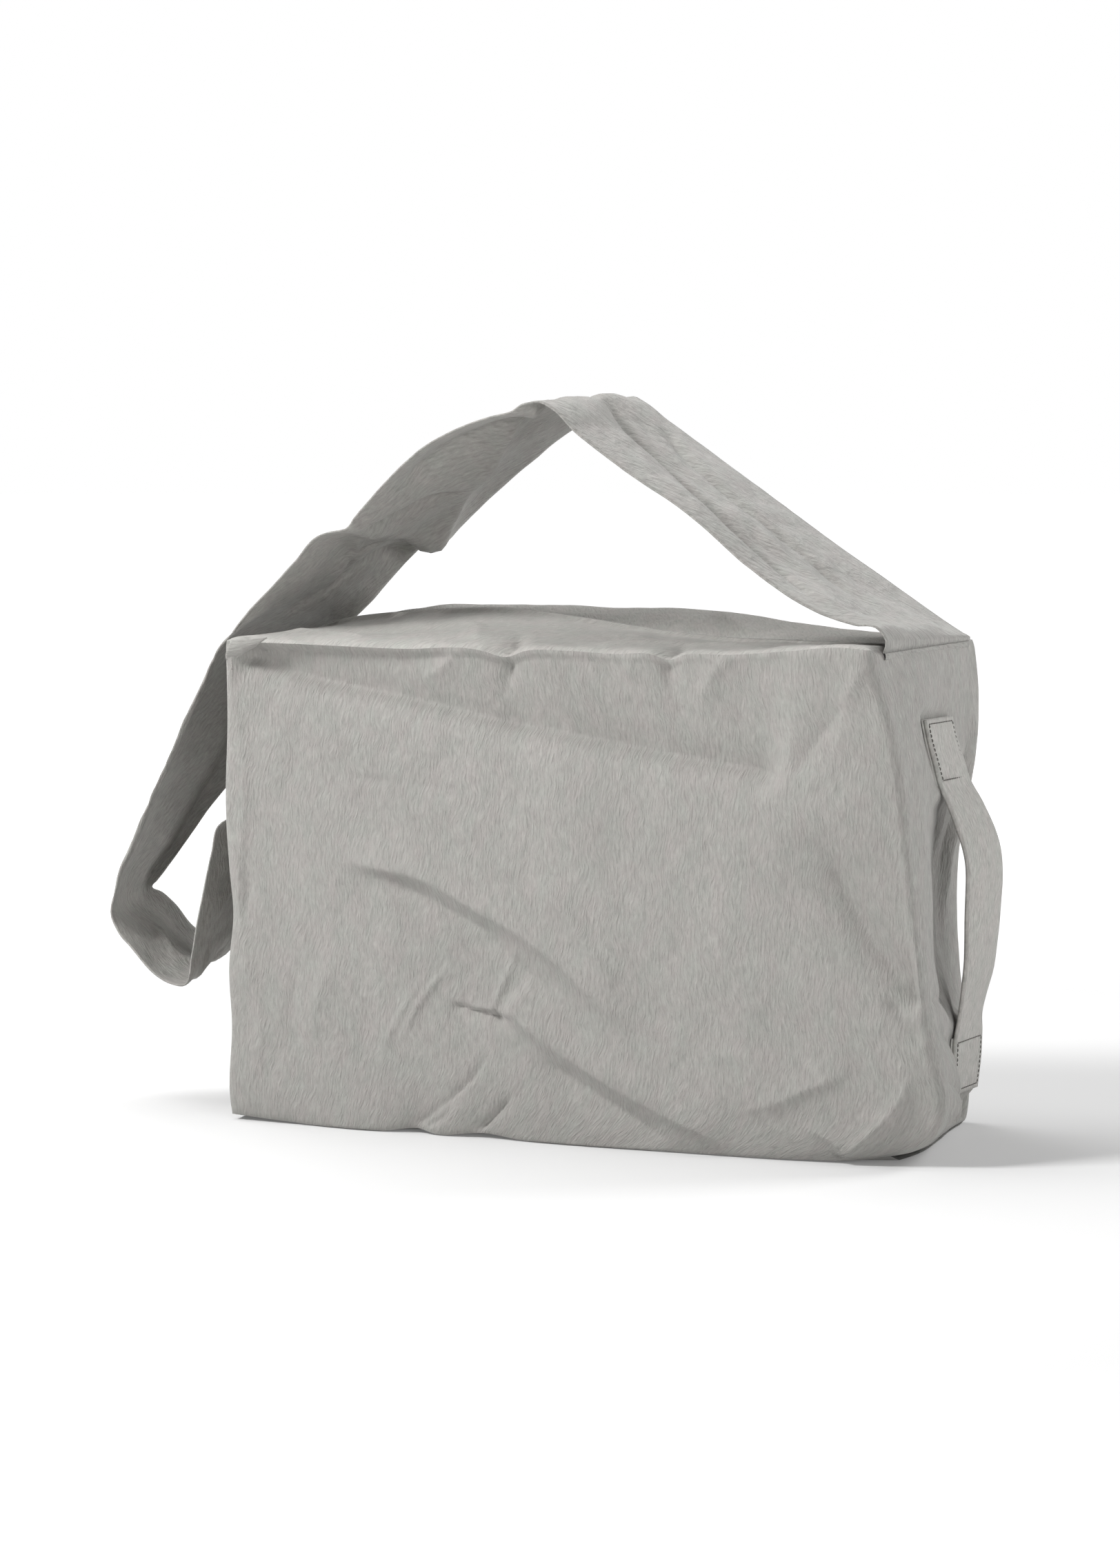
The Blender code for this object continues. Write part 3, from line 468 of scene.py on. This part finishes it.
def ramp(tree, value, low, high, start=0.3, end=0.7):
    made = node(tree, "ValToRGB")
    made.color_ramp.elements[0].position = start
    made.color_ramp.elements[1].position = end
    made.color_ramp.elements[0].color = (*low, 1.0)
    made.color_ramp.elements[1].color = (*high, 1.0)
    tree.links.new(value, made.inputs["Fac"])
    return made.outputs["Color"]


def mix(tree, kind, factor, a, b):
    made = node(tree, "Mix", data_type="RGBA", blend_type=kind)
    if isinstance(factor, float):
        made.inputs[0].default_value = factor
    else:
        tree.links.new(factor, made.inputs[0])
    for socket, value in ((made.inputs[6], a), (made.inputs[7], b)):
        if isinstance(value, tuple):
            socket.default_value = (*value, 1.0)
        else:
            tree.links.new(value, socket)
    return made.outputs[2]


def washed_cloth(name, tone_and_painted_light=1.0, streak=(640.0, 105.0), slant=0.10, crinkle=1.0, contrast=1.0):
    """Washed synthetic cloth: wandering streaks along the weave, blotches and fine crinkles, over an overall
    brightness that is the cloth's tone and on some pieces also painted light and shade.
    """
    made, tree, shader = new_surface(name)
    flat = node(tree, "UVMap", uv_map="flat").outputs["UV"]
    warp = noise_node(tree, flat, (30.0, 22.0), 2.0)
    push = node(tree, "VectorMath", operation="MULTIPLY_ADD")
    tree.links.new(warp, push.inputs[0])
    push.inputs[1].default_value = (0.014, 0.004, 0.0)
    tree.links.new(flat, push.inputs[2])
    turn = node(tree, "Mapping", Rotation=(0.0, 0.0, slant))
    tree.links.new(push.outputs["Vector"], turn.inputs["Vector"])
    bent = turn.outputs["Vector"]
    streaks = noise_node(tree, bent, streak, 3.0, 0.6)
    flecks = noise_node(tree, bent, (streak[0] * 1.7, streak[1] * 1.9), 2.0)
    blotches = noise_node(tree, bent, (75.0, 36.0), 3.0)
    wide = noise_node(tree, flat, (9.0, 6.0), 2.0)

    def grey(offset):
        # The overall brightness factor scales the whole colour: the cloth's own tone, with painted light on
        # the lighter copies and painted shade on the darker one
        level = tone_and_painted_light * (0.308 + offset * contrast)
        return (level, level * 0.978, level * 0.925)

    base = ramp(tree, streaks, grey(-0.066), grey(0.066), 0.28, 0.72)
    fleck = ramp(tree, flecks, grey(-0.048), grey(0.048), 0.28, 0.72)
    colour = mix(tree, "MIX", 0.35, base, fleck)
    hue = ramp(tree, blotches, (0.980, 1.000, 0.988), (1.026, 0.998, 1.004), 0.35, 0.65)
    colour = mix(tree, "MULTIPLY", 1.0, colour, hue)
    wash = ramp(tree, wide, (0.960, 0.960, 0.960), (1.035, 1.035, 1.035), 0.3, 0.7)
    colour = mix(tree, "MULTIPLY", 1.0, colour, wash)
    tree.links.new(colour, shader.inputs["Base Color"])
    put(shader, Roughness=0.80, Specular_IOR_Level=0.22, Sheen_Weight=0.15, Sheen_Roughness=0.45)
    normal = None
    crinkles = noise_node(tree, bent, (95.0, 50.0), 4.0, 0.55)
    bumps = ((crinkles, 0.45 * crinkle, 0.0018), (streaks, 1.0, 0.0013), (flecks, 0.5, 0.0005))
    for height, strength, distance in bumps:
        bump = node(tree, "Bump", Strength=strength, Distance=distance)
        tree.links.new(height, bump.inputs["Height"])
        if normal:
            tree.links.new(normal, bump.inputs["Normal"])
        normal = bump.outputs["Normal"]
    tree.links.new(normal, shader.inputs["Normal"])
    return made


def plain(name, colour, rough, metallic=0.0, grain=None):
    """A plain surface with fine grain in its colour and bump."""
    made, tree, shader = new_surface(name)
    put(shader, Roughness=rough, Metallic=metallic, Base_Color=(*colour, 1.0))
    if grain:
        where = node(tree, "TexCoord").outputs["Object"]
        spots = node(tree, "TexNoise", Scale=grain, Detail=3.0)
        tree.links.new(where, spots.inputs["Vector"])
        dark = tuple(c * 0.75 for c in colour)
        light = tuple(min(1.0, c * 1.2) for c in colour)
        tree.links.new(ramp(tree, spots.outputs["Fac"], dark, light), shader.inputs["Base Color"])
        bump = node(tree, "Bump", Strength=0.25, Distance=0.0002)
        tree.links.new(spots.outputs["Fac"], bump.inputs["Height"])
        tree.links.new(bump.outputs["Normal"], shader.inputs["Normal"])
    return made


BODY = washed_cloth("body cloth")
# One cloth throughout: the end, top and handle copies are painted lighter and the strap copy painted darker,
# as painted light and shade for how the lamps fall on each piece
ENDS = washed_cloth("end cloth", tone_and_painted_light=1.03, contrast=1.5)
TOP = washed_cloth("top cloth", tone_and_painted_light=1.2, streak=(560.0, 110.0), slant=0.5)
STRAP = washed_cloth("strap cloth", tone_and_painted_light=0.96, streak=(120.0, 420.0), slant=0.35, crinkle=1.4, contrast=1.5)
HANDLE = washed_cloth("handle cloth", tone_and_painted_light=1.3, streak=(620.0, 130.0), slant=-0.15, contrast=1.5)
TAPE = washed_cloth("tape cloth", tone_and_painted_light=0.6, streak=(700.0, 700.0), slant=0.0, crinkle=0.4)
# Dark thread, darkened further as painted shade of the needle holes round each stitch
THREAD_WITH_PAINTED_SHADE = plain("thread", (0.105, 0.10, 0.09), 0.75, grain=900.0)
COIL = plain("zip coil", (0.12, 0.12, 0.115), 0.4)
METAL = plain("zip metal", (0.50, 0.49, 0.47), 0.34, 1.0, grain=500.0)


# Body

def body_edges():
    counts = {"front_top": NX, "front_base": NX, "back_top": NX, "back_base": NX, "ridge": NX,
              "front_left": NZ, "front_right": NZ, "back_left": NZ, "back_right": NZ,
              "left_base": 2 * NY_HALF, "right_base": 2 * NY_HALF}
    return {name: through(np.array(knots) / TENTHS, counts.get(name, NY_HALF) + 1)
            for name, knots in EDGES.items()}


def all_folds(u, v, folds):
    return sum(fold(u, v, *f) for f in folds)


def long_wall(edges, side, folds, seed):
    """The front or back panel, with its height standing out along -Y or +Y."""
    name = "front" if side < 0 else "back"
    p = coons(edges[f"{name}_base"], edges[f"{name}_top"], edges[f"{name}_left"], edges[f"{name}_right"])
    x, z = p[..., 0], p[..., 2]
    left, right = x - p[:1, :, 0], p[-1:, :, 0] - x
    low, high = z - p[:, :1, 2], p[:, -1:, 2] - z
    edge = dome(left, 0.004) * dome(right, 0.005) * dome(low, 0.012) * dome(high, 0.010)
    inside = clear_of(0.02, left, right, low, high)
    along = np.sin(math.pi * np.clip((x + 0.25) / 0.54, 0, 1))
    belly = 0.0020 * along * np.sin(math.pi * np.clip(z / 0.30, 0, 1)) ** 0.7
    swell = 0.0014 * noise(x, z, 0.085, 0.12, seed) + 0.0024 * crumple(x, z, 0.075, seed + 20)
    tiny = 0.0006 * crumple(x, z, 0.022, seed + 40)
    grip = np.clip(np.minimum(np.minimum(left, right), np.minimum(low, high)) / 0.006, 0, 1)
    out = 0.0024 * edge + belly * inside + swell * inside + tiny * grip
    out = out + all_folds(x, z, folds) * grip
    y = p[..., 1] + side * out
    p[..., 1] = np.clip(y, -WALL_LIMIT, WALL_LIMIT)
    p[..., 2] = np.maximum(p[..., 2], LOWEST_WALL)
    return p


def end_wall(edges, side, folds, seed):
    """The left or right end panel, from front to back, standing out along -X or +X."""
    name = "left" if side < 0 else "right"
    top = np.concatenate([edges[f"{name}_top_front"], edges[f"{name}_top_back"][1:]])
    p = coons(edges[f"{name}_base"], top, edges[f"front_{name}"], edges[f"back_{name}"])
    y, z = p[..., 1], p[..., 2]
    near, far = y - p[:1, :, 1], p[-1:, :, 1] - y
    low, high = z - p[:, :1, 2], p[:, -1:, 2] - z
    closest = np.minimum(np.minimum(near, far), np.minimum(low, high))
    edge = dome(near, 0.012) * dome(far, 0.008) * dome(low, 0.010) * dome(high, 0.008)
    swell = 0.0018 * noise(y, z, 0.060, 0.10, seed) + 0.0022 * crumple(y, z, 0.055, seed + 20)
    tiny = 0.0005 * crumple(y, z, 0.02, seed + 40)
    out = 0.0030 * edge + (swell + tiny) * smooth_step(closest / 0.015)
    out = out + all_folds(y, z, folds) * smooth_step(closest / 0.006)
    if side > 0:
        cave = -0.012 * np.exp(-((y - 0.035) / 0.036) ** 2 - ((z - 0.165) / 0.060) ** 2)
        out = out + cave * smooth_step(closest / 0.02)
    p[..., 0] += side * out
    return p


def hold_at_tabs(p, handle, side):
    """Lay an end panel just behind its handle's two sewn tabs."""
    line = np.asarray(handle)
    order = np.argsort(line[:, 1])
    x_tab = np.interp(p[..., 2], line[order, 1], line[order, 0]) - side * 0.0030
    hold = 0.0
    for low, high in (UPPER_TAB, LOWER_TAB):
        reach = np.maximum(low - p[..., 2], p[..., 2] - high)
        hold = np.maximum(hold, smooth_step(1 - reach / 0.016))
    hold = hold * smooth_step((0.052 - np.abs(p[..., 1])) / 0.022)
    p[..., 0] = p[..., 0] * (1 - hold) + x_tab * hold
    return p


def mouth_gap(x):
    """How far the mouth's edge stands from the middle: closed, but open where the slider parks."""
    away = np.abs(x)
    return 0.0004 + 0.0074 * smooth_step((away - 0.156) / 0.008) * smooth_step((0.217 - away) / 0.008)


def top_half(edges, side, seed):
    """The top cloth from a long edge to the mouth, then folded under as its hem."""
    name = "front" if side < 0 else "back"
    ridge = edges["ridge"].copy()
    if side > 0:
        inside = smooth_step((0.24 - np.abs(ridge[:, 0])) / 0.04)
        ridge[:, 2] -= 0.0022 * inside
    ridge[:, 1] += side * mouth_gap(ridge[:, 0])
    outer = edges[f"{name}_top"]
    left, right = edges[f"left_top_{name}"], edges[f"right_top_{name}"]
    if side > 0:
        left, right = left[::-1], right[::-1]
    p = coons(outer, ridge, left, right)
    x, y = p[..., 0], p[..., 1]
    from_edge = np.abs(y - outer[:, None, 1])
    from_ridge = np.abs(y - ridge[:, None, 1])
    from_ends = np.minimum(x - p[:1, :, 0], p[-1:, :, 0] - x)
    inside = smooth_step(from_ends / 0.02) * smooth_step(from_edge / 0.012) * smooth_step(from_ridge / 0.006)
    lift = 0.0035 * dome(from_edge, 0.012) * dome(from_ends, 0.008) * smooth_step(from_ridge / 0.05)
    swell = 0.0016 * noise(x, y, 0.09, 0.05, seed) + 0.0022 * crumple(x, y, 0.055, seed + 20)
    grip = np.clip(np.minimum(from_ends, from_edge) / 0.005, 0, 1)
    lift = lift + swell * inside + all_folds(x, y, TOP_FOLDS) * grip
    if side < 0:
        lift = lift + 0.0026 * np.exp(-(from_ridge / 0.0035) ** 2) * smooth_step(from_ends / 0.05)
    else:
        hollow = np.exp(-((from_ridge - 0.030) / 0.022) ** 2) * smooth_step((0.16 - np.abs(x + 0.03)) / 0.06)
        lift = lift - 0.0050 * hollow
    p[..., 2] += lift
    over_zip = smooth_step((0.060 - np.abs(y)) / 0.024)
    p[..., 2] = np.maximum(p[..., 2], TOP_LEVEL + OVER_ZIP * over_zip)
    rim = p[:, -1]
    rows = []
    for out, drop, level in HEM:
        row = rim.copy()
        row[:, 1] += side * out
        row[:, 2] = rim[:, 2] + drop if level is None else level
        if level is not None:
            start = np.abs(rim[:, 1])
            row[:, 1] = side * np.maximum(out, start + 0.001 * out / 0.004)
        row[:, 2] = np.minimum(row[:, 2], rim[:, 2] - 0.0010)
        rows.append(row)
    return np.concatenate([p, np.stack(rows, 1)], 1)


def fold_weights(obj):
    """Bake the piece's placement into its mesh."""
    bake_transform(obj)


def build_body():
    edges = body_edges()
    front = long_wall(edges, -1, FRONT_FOLDS, 11)
    back = long_wall(edges, 1, BACK_FOLDS, 12)
    right = hold_at_tabs(end_wall(edges, 1, RIGHT_FOLDS, 13), RIGHT_HANDLE, 1)
    left = hold_at_tabs(end_wall(edges, -1, LEFT_FOLDS, 14), LEFT_HANDLE, -1)
    base = coons(edges["front_base"], edges["back_base"], edges["left_base"], edges["right_base"])
    lift = 0.0014 * np.maximum(0, noise(base[..., 0], base[..., 1], 0.08, 0.08, 15))
    rim = np.minimum(base[..., 1] - base[:, :1, 1], base[:, -1:, 1] - base[..., 1])
    inner = smooth_step(rim / 0.02)
    base[..., 2] = np.maximum(LOWEST_BASE, base[..., 2] * (1 - inner) + lift * inner)
    panels = {
        "front_panel": (front, BODY, (0.52, 0.355)), "back_panel": (back, BODY, (0.50, 0.355)),
        "end_panel_right": (right, ENDS, (0.215, 0.355)), "end_panel_left": (left, ENDS, (0.215, 0.355)),
        "base_panel": (base, BODY, (0.51, 0.220)),
    }
    for name, (points, surface, flat) in panels.items():
        obj = grid_object(f"{name}_cloth", points, surface)
        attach(obj, "sack")
        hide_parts(name)
    for name, side in SIDES:
        points = top_half(edges, side, 16 + side)
        obj = grid_object(f"top_cloth_{name}", points, TOP)
        fold_weights(obj)
        end = "left" if side < 0 else "right"
        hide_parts(f"top_border_{name}", f"mouth_lip_{name}", f"top_end_{end}")
    return front, back, base


def welt(name, line, across, out, width, thick, surface):
    """A narrow strip folded in two along an edge line, as a raised seam."""
    across, out = np.asarray(across, float), np.asarray(out, float)
    rows = []
    for turn in np.linspace(-math.pi, math.pi, 13):
        share, rise = 0.5 + 0.5 * math.cos(turn + math.pi), math.sin(turn + math.pi)
        row = line + across * width * share
        if rise:
            row = row + out * thick * rise * abs(rise) ** -0.4
        rows.append(row)
    obj = grid_object(name, np.stack(rows, 1), surface)
    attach(obj, "sack")
    return obj


def build_binding(name, strip):
    obj = grid_object(f"seam_binding_{name}_tape", strip, TAPE)
    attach(obj, "sack")
    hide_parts(f"seam_binding_{name}")


def build_seams(front, back, base):
    """Seam welts at the upright corners and the binding tapes inside them."""
    sides = {"left_front": (front, 0, 1), "right_front": (front, -1, -1),
             "left_back": (back, 0, 1), "right_back": (back, -1, -1)}
    for name, (wall, column, inward) in sides.items():
        out = -1 if "front" in name else 1
        if name != "right_front":
            line = wall[column, 3:-3] + np.array([0, out * 0.0002, 0])
            obj = welt(f"seam_welt_{name}", line, (inward, out * 0.15, 0), (0, out, 0), 0.0055, 0.0010, BODY)
        columns = slice(3, 8) if column == 0 else slice(-8, -3)
        strip = wall[columns, 6:-8].copy()
        strip[..., 1] -= out * 0.0016
        build_binding(name, strip)
    for name, rows in (("front", slice(2, 7)), ("back", slice(-7, -2))):
        strip = base[10:-14, rows].copy()
        strip[..., 2] += 0.0016
        build_binding(f"base_{name}", strip)


def build_ear():
    """The small folded flap of spare cloth at the front end of the left top seam."""
    turn = np.linspace(0.0, 1.0, 25)[:, None]
    wide = np.linspace(0.0, 1.0, 15)[None, :]
    angle = 0.5 + 3.6 * turn
    radius = 0.0034 * (1 - 0.45 * wide) * (1 - 0.35 * turn)
    x = -0.2475 + 0.030 * wide + radius * np.cos(angle) * 0.9 - 0.010 * wide * turn
    y = -0.1085 - radius * np.sin(angle) + 0.0015 * wide
    z = 0.3500 + radius * np.cos(angle) + 0.0035 * wide - 0.012 * turn * (1 - 0.6 * wide)
    obj = grid_object("corner_ear", np.stack([x, y, z], -1), BODY, thick=0.0008)
    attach(obj, "sack")


# Strap

def strap_points(count, across):
    """The strap as a grid from its right seam over the arch to its left seam."""
    near, far, stand = (np.array([s[k] for s in STRAP_STATIONS]) / unit
                        for k, unit in enumerate((TENTHS, TENTHS, 1000)))
    channel = np.array([s[3] for s in STRAP_STATIONS], float)[:, None]
    smooth = through(np.concatenate([(near + far) / 2, near, far, stand, channel], 1), count)
    middle, near, far, stand, channel = np.split(smooth, [3, 6, 9, 16], 1)
    along = np.gradient(middle, axis=0)
    along /= np.linalg.norm(along, axis=1)[:, None]
    span = far - near
    out = np.cross(span, along)
    out /= np.linalg.norm(out, axis=1)[:, None]
    share = np.linspace(0, 1, across)
    place = (1 - channel) * STRAP_ACROSS[0] + channel * STRAP_ACROSS[1]
    place = np.stack([np.interp(share, STRAP_SHARE, row) for row in place])
    height = np.stack([np.interp(share, STRAP_SHARE, row) for row in stand])
    for grid in (place, height):
        grid[:, 1:-1] = 0.25 * grid[:, :-2] + 0.5 * grid[:, 1:-1] + 0.25 * grid[:, 2:]
    run, width = np.meshgrid(np.linspace(0, 1.25, count), share * 0.17, indexing="ij")
    ends = smooth_step(run / 0.03) * smooth_step((1.25 - run) / 0.03)
    rim = 0.30 + 0.70 * smooth_step(np.minimum(width, 0.17 - width) / 0.02)
    rough = (0.0020 * noise(run, width, 0.13, 0.045, 31) + 0.0028 * crumple(run, width, 0.060, 32)
             + 0.0008 * crumple(run, width, 0.022, 33))
    height = height + rim * ends * rough
    height = height + all_folds(run, width, STRAP_FOLDS) * ends
    return near[:, None] + span[:, None] * place[..., None] + out[:, None] * height[..., None]


def build_strap():
    count, across = ((380, 57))
    points = strap_points(count, across)
    obj = grid_object("shoulder_strap_cloth", points, STRAP, thick=0.0013)
    fold_weights(obj)
    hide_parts("shoulder_strap_arch", "shoulder_strap_right_root", "shoulder_strap_left_drop",
                "shoulder_strap_left_return")
    for name, row in (("right", points[0]), ("left", points[-1])):
        side = 1 if name == "right" else -1
        line = row + np.array([side * 0.0002, 0, 0])
        roll = welt(f"strap_seam_{name}", line, (0, 0, -1), (side, 0, 0), 0.0050, 0.0014, STRAP)


# Handles

def band_points(handle):
    """A handle's webbing as a grid from its upper end down and from front to back, with its outward side."""
    rows = through([(x, 0.0, z, twist) for x, z, twist in handle], HANDLE_ROWS)
    along = np.gradient(rows[:, :3], axis=0)
    along /= np.linalg.norm(along, axis=1)[:, None]
    out = np.stack([-along[:, 2], np.zeros(HANDLE_ROWS), along[:, 0]], 1)
    out *= np.sign(out[:, :1].sum()) * np.sign(handle[0][0])
    share = np.linspace(-1, 1, HANDLE_COLUMNS)
    z = rows[:, 2]
    free = smooth_step((UPPER_TAB[0] - z) / 0.02) * smooth_step((z - LOWER_TAB[1]) / 0.02)
    width = HANDLE_HALF * (1 - 0.02 * free[:, None])
    points = rows[:, None, :3] + np.zeros((1, HANDLE_COLUMNS, 3))
    points[..., 1] += share * width
    points[..., 0] += share * rows[:, 3:4]
    ripple = 0.0006 * noise(z[:, None], share * HANDLE_HALF, 0.03, 0.02, 41)
    bow = -HANDLE_CURL * free[:, None] * (share ** 2 - 0.4)
    return points + out[:, None] * (bow + ripple * free[:, None])[..., None], out


def add_stitch(centre, direction, out, verts, faces):
    """One stitch: a short rounded thread lying on the cloth."""
    side = np.cross(direction, out)
    start = len(verts)
    for share, girth in ((-1.0, 0.15), (-0.72, 0.85), (0.0, 1.0), (0.72, 0.85), (1.0, 0.15)):
        rise = 0.5 - 0.9 * share * share
        middle = centre + direction * share * STITCH_LONG / 2 + out * STITCH_THICK * rise
        for k in range(6):
            angle = 2 * math.pi * k / 6
            verts.append(middle + (side * math.cos(angle) + out * math.sin(angle)) * STITCH_THICK * girth)
    for ring in range(4):
        for k in range(6):
            a, b = start + ring * 6 + k, start + ring * 6 + (k + 1) % 6
            faces.append((a, b, b + 6, a + 6))
    faces.append(tuple(start + k for k in range(5, -1, -1)))
    faces.append(tuple(start + 24 + k for k in range(6)))


def box_stitches(tab, points, out, z_range, side):
    """Stitches round a tab, set in from its edges, following its cloth."""
    low, high = z_range[0] + STITCH_INSET, z_range[1] - STITCH_INSET
    middle = points[:, points.shape[1] // 2]
    edge = HANDLE_HALF - STITCH_INSET
    verts, faces = [], []

    def place(y, z):
        x = np.interp(-z, -middle[:, 2], middle[:, 0])
        k = int(np.argmin(abs(middle[:, 2] - z)))
        normal = out[k] * (1 if out[k][0] * side > 0 else -1)
        return np.array([x, y, z]) + normal * (HANDLE_THICK / 2 + 0.0001), normal

    corners = [(-edge, low), (edge, low), (edge, high), (-edge, high), (-edge, low)]
    for (y0, z0), (y1, z1) in zip(corners, corners[1:]):
        count = max(2, round(math.hypot(y1 - y0, z1 - z0) / STITCH_PITCH))
        for k in range(count):
            t = (k + 0.5) / count
            centre, normal = place(y0 + (y1 - y0) * t, z0 + (z1 - z0) * t)
            ahead = place(y0 + (y1 - y0) * (t + 0.02), z0 + (z1 - z0) * (t + 0.02))[0]
            direction = (ahead - centre) / np.linalg.norm(ahead - centre)
            add_stitch(centre, direction, normal, verts, faces)
    obj = mesh_object(f"handle_stitches_{tab}", verts, faces, THREAD_WITH_PAINTED_SHADE)
    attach(obj, "sack")
    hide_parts(f"handle_stitch_{tab}")


def build_handle(name, handle, side):
    points, out = band_points(handle)
    obj = grid_object(f"handle_{name}_cloth", points, HANDLE, thick=HANDLE_THICK, flat_turn=True)
    fold_weights(obj)
    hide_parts(f"handle_grip_{name}", f"handle_tab_{name}_upper", f"handle_tab_{name}_lower")
    for end, z_range in (("upper", UPPER_TAB), ("lower", LOWER_TAB)):
        box_stitches(f"{name}_{end}", points, out, z_range, side)
        rows = (points[:, 0, 2] > z_range[0] - 0.001) & (points[:, 0, 2] < z_range[1] + 0.001)
        under = points[rows].copy()
        under[..., 0] -= side * 0.0019
        under[..., 1] = under[..., 1] * 0.985 - 0.0022
        layer = grid_object(f"handle_underlay_{name}_{end}", under, HANDLE, thick=0.0008, flat_turn=True)
        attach(layer, "sack")


# Zip

def build_coil(name, side):
    """One half of the zip's coil, as a thin wire wound along the mouth's edge."""
    run = np.linspace(0, 1, COIL_STEPS * COIL_TURNS + 1)
    angle = run * COIL_TURNS * 2 * math.pi
    line = np.stack([-COIL_HALF + 2 * COIL_HALF * run, side * (COIL_Y + COIL_WIDE * np.cos(angle)),
                     COIL_Z + COIL_HIGH * np.sin(angle)], 1)
    ring = np.array([(math.cos(a), math.sin(a)) for a in np.linspace(0, 2 * math.pi, 5)[:-1]])
    outward = np.stack([0 * run, side * np.cos(angle), np.sin(angle)], 1)
    lengthwise = np.array([1.0, 0.0, 0.0])
    tube = line[:, None] + COIL_WIRE * (ring[None, :, :1] * outward[:, None] + ring[None, :, 1:] * lengthwise)
    n = len(line)
    faces = [(4 * i + k, 4 * i + (k + 1) % 4, 4 * i + 4 + (k + 1) % 4, 4 * i + 4 + k)
             for i in range(n - 1) for k in range(4)]
    faces += [(3, 2, 1, 0), (4 * n - 4, 4 * n - 3, 4 * n - 2, 4 * n - 1)]
    obj = mesh_object(f"zip_coil_{name}", tube.reshape(-1, 3), faces, COIL)
    fold_weights(obj)
    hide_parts(f"zip_teeth_{name}")


def build_tape(node_name, start, end, side, body):
    """A length of zip tape, following a lip or sewn to the sack."""
    xs = np.linspace(start, end, max(12, int(abs(end - start) / 0.005)))
    gx, gy = np.meshgrid(xs, side * np.linspace(TAPE_INNER, TAPE_OUTER, 9), indexing="ij")
    gz = TAPE_Z + 0.00025 * noise(gx, gy, 0.02, 0.02, 51)
    tape = grid_object(f"{node_name}_cloth", np.stack([gx, gy, gz], -1), TAPE, thick=TAPE_THICK)
    if body == "sack":
        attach(tape, body)
    else:
        fold_weights(tape)
    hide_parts(node_name)


def build_zip():
    for name, side in SIDES:
        build_coil(name, side)
        build_tape(f"zip_tape_{name}", -MOUTH_HALF, MOUTH_HALF, side, f"mouth_{name}")
        build_tape(f"zip_end_tape_{name}_left", -ZIP_HALF, -END_TAPE_START, side, "sack")
        build_tape(f"zip_end_tape_{name}_right", END_TAPE_START, ZIP_HALF, side, "sack")
    for name in ("zip_slider", "zip_pull_tab", "zip_top_stop_front", "zip_top_stop_back", "zip_bottom_stop"):
        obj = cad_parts[name]
        obj.data.materials.clear()
        obj.data.materials.append(METAL)
        bevel = obj.modifiers.new("edges", "BEVEL")
        bevel.width = 0.00022
        bevel.segments = 2
        bevel.limit_method = "ANGLE"


# Stage

def build_stage():
    """A wide pale floor that turns white with distance, so it has no horizon."""
    surface, tree, shader = new_surface("floor")
    put(shader, Base_Color=(0.62, 0.62, 0.62, 1.0), Roughness=0.9, Emission_Strength=1.0)
    where = node(tree, "TexCoord").outputs["Object"]
    away = node(tree, "VectorMath", operation="LENGTH")
    tree.links.new(where, away.inputs[0])
    reach = node(tree, "MapRange")
    reach.inputs["From Min"].default_value, reach.inputs["From Max"].default_value = FLOOR_WHITE
    tree.links.new(away.outputs["Value"], reach.inputs["Value"])
    tree.links.new(ramp(tree, reach.outputs["Result"], (0.10, 0.10, 0.10), (1.0, 1.0, 1.0), 0.0, 1.0),
                   shader.inputs["Emission Color"])
    corners = FLOOR_HALF * np.array([[(-1, -1, 0), (-1, 1, 0)], [(1, -1, 0), (1, 1, 0)]])
    grid_object("floor", corners, surface)


def area_light(name, place, size, power):
    light = bpy.data.lights.new(name, "AREA")
    light.shape = "RECTANGLE"
    light.size, light.size_y = size
    light.energy = power
    obj = bpy.data.objects.new(name, light)
    obj.location = place
    obj.rotation_euler = (VIEW_AT - Vector(place)).to_track_quat("-Z", "Y").to_euler()
    bpy.context.scene.collection.objects.link(obj)


def build_light_and_camera():
    scene = bpy.context.scene
    world = bpy.data.worlds.new("studio")
    world.use_nodes = True
    tree = world.node_tree
    soft = tree.nodes["Background"]
    put(soft, Color=(1.0, 1.0, 1.0, 1.0), Strength=WORLD_LIGHT)
    white = node(tree, "Background", Color=(1.0, 1.0, 1.0, 1.0), Strength=1.0)
    seen = node(tree, "LightPath").outputs["Is Camera Ray"]
    both = node(tree, "MixShader")
    tree.links.new(seen, both.inputs[0])
    tree.links.new(soft.outputs[0], both.inputs[1])
    tree.links.new(white.outputs[0], both.inputs[2])
    tree.links.new(both.outputs[0], tree.nodes["World Output"].inputs["Surface"])
    scene.world = world
    for name, (place, size, power) in LIGHTS.items():
        area_light(name, place, size, power)
    turn, lift = math.radians(VIEW_TURN), math.radians(VIEW_LIFT)
    back = Vector((math.sin(turn) * math.cos(lift), -math.cos(turn) * math.cos(lift), math.sin(lift)))
    camera = bpy.data.cameras.new("camera")
    camera.lens = LENS
    camera.sensor_width = 36.0
    camera.clip_end = 50.0
    obj = bpy.data.objects.new("camera", camera)
    obj.location = VIEW_AT + back * VIEW_FAR
    obj.rotation_euler = back.to_track_quat("Z", "Y").to_euler()
    scene.collection.objects.link(obj)
    scene.camera = obj
    scene.view_settings.view_transform = "Standard"


build_seams(*build_body())
build_ear()
build_strap()
build_handle("right", RIGHT_HANDLE, 1)
build_handle("left", LEFT_HANDLE, -1)
build_zip()
build_stage()
build_light_and_camera()

bpy.context.view_layer.update()
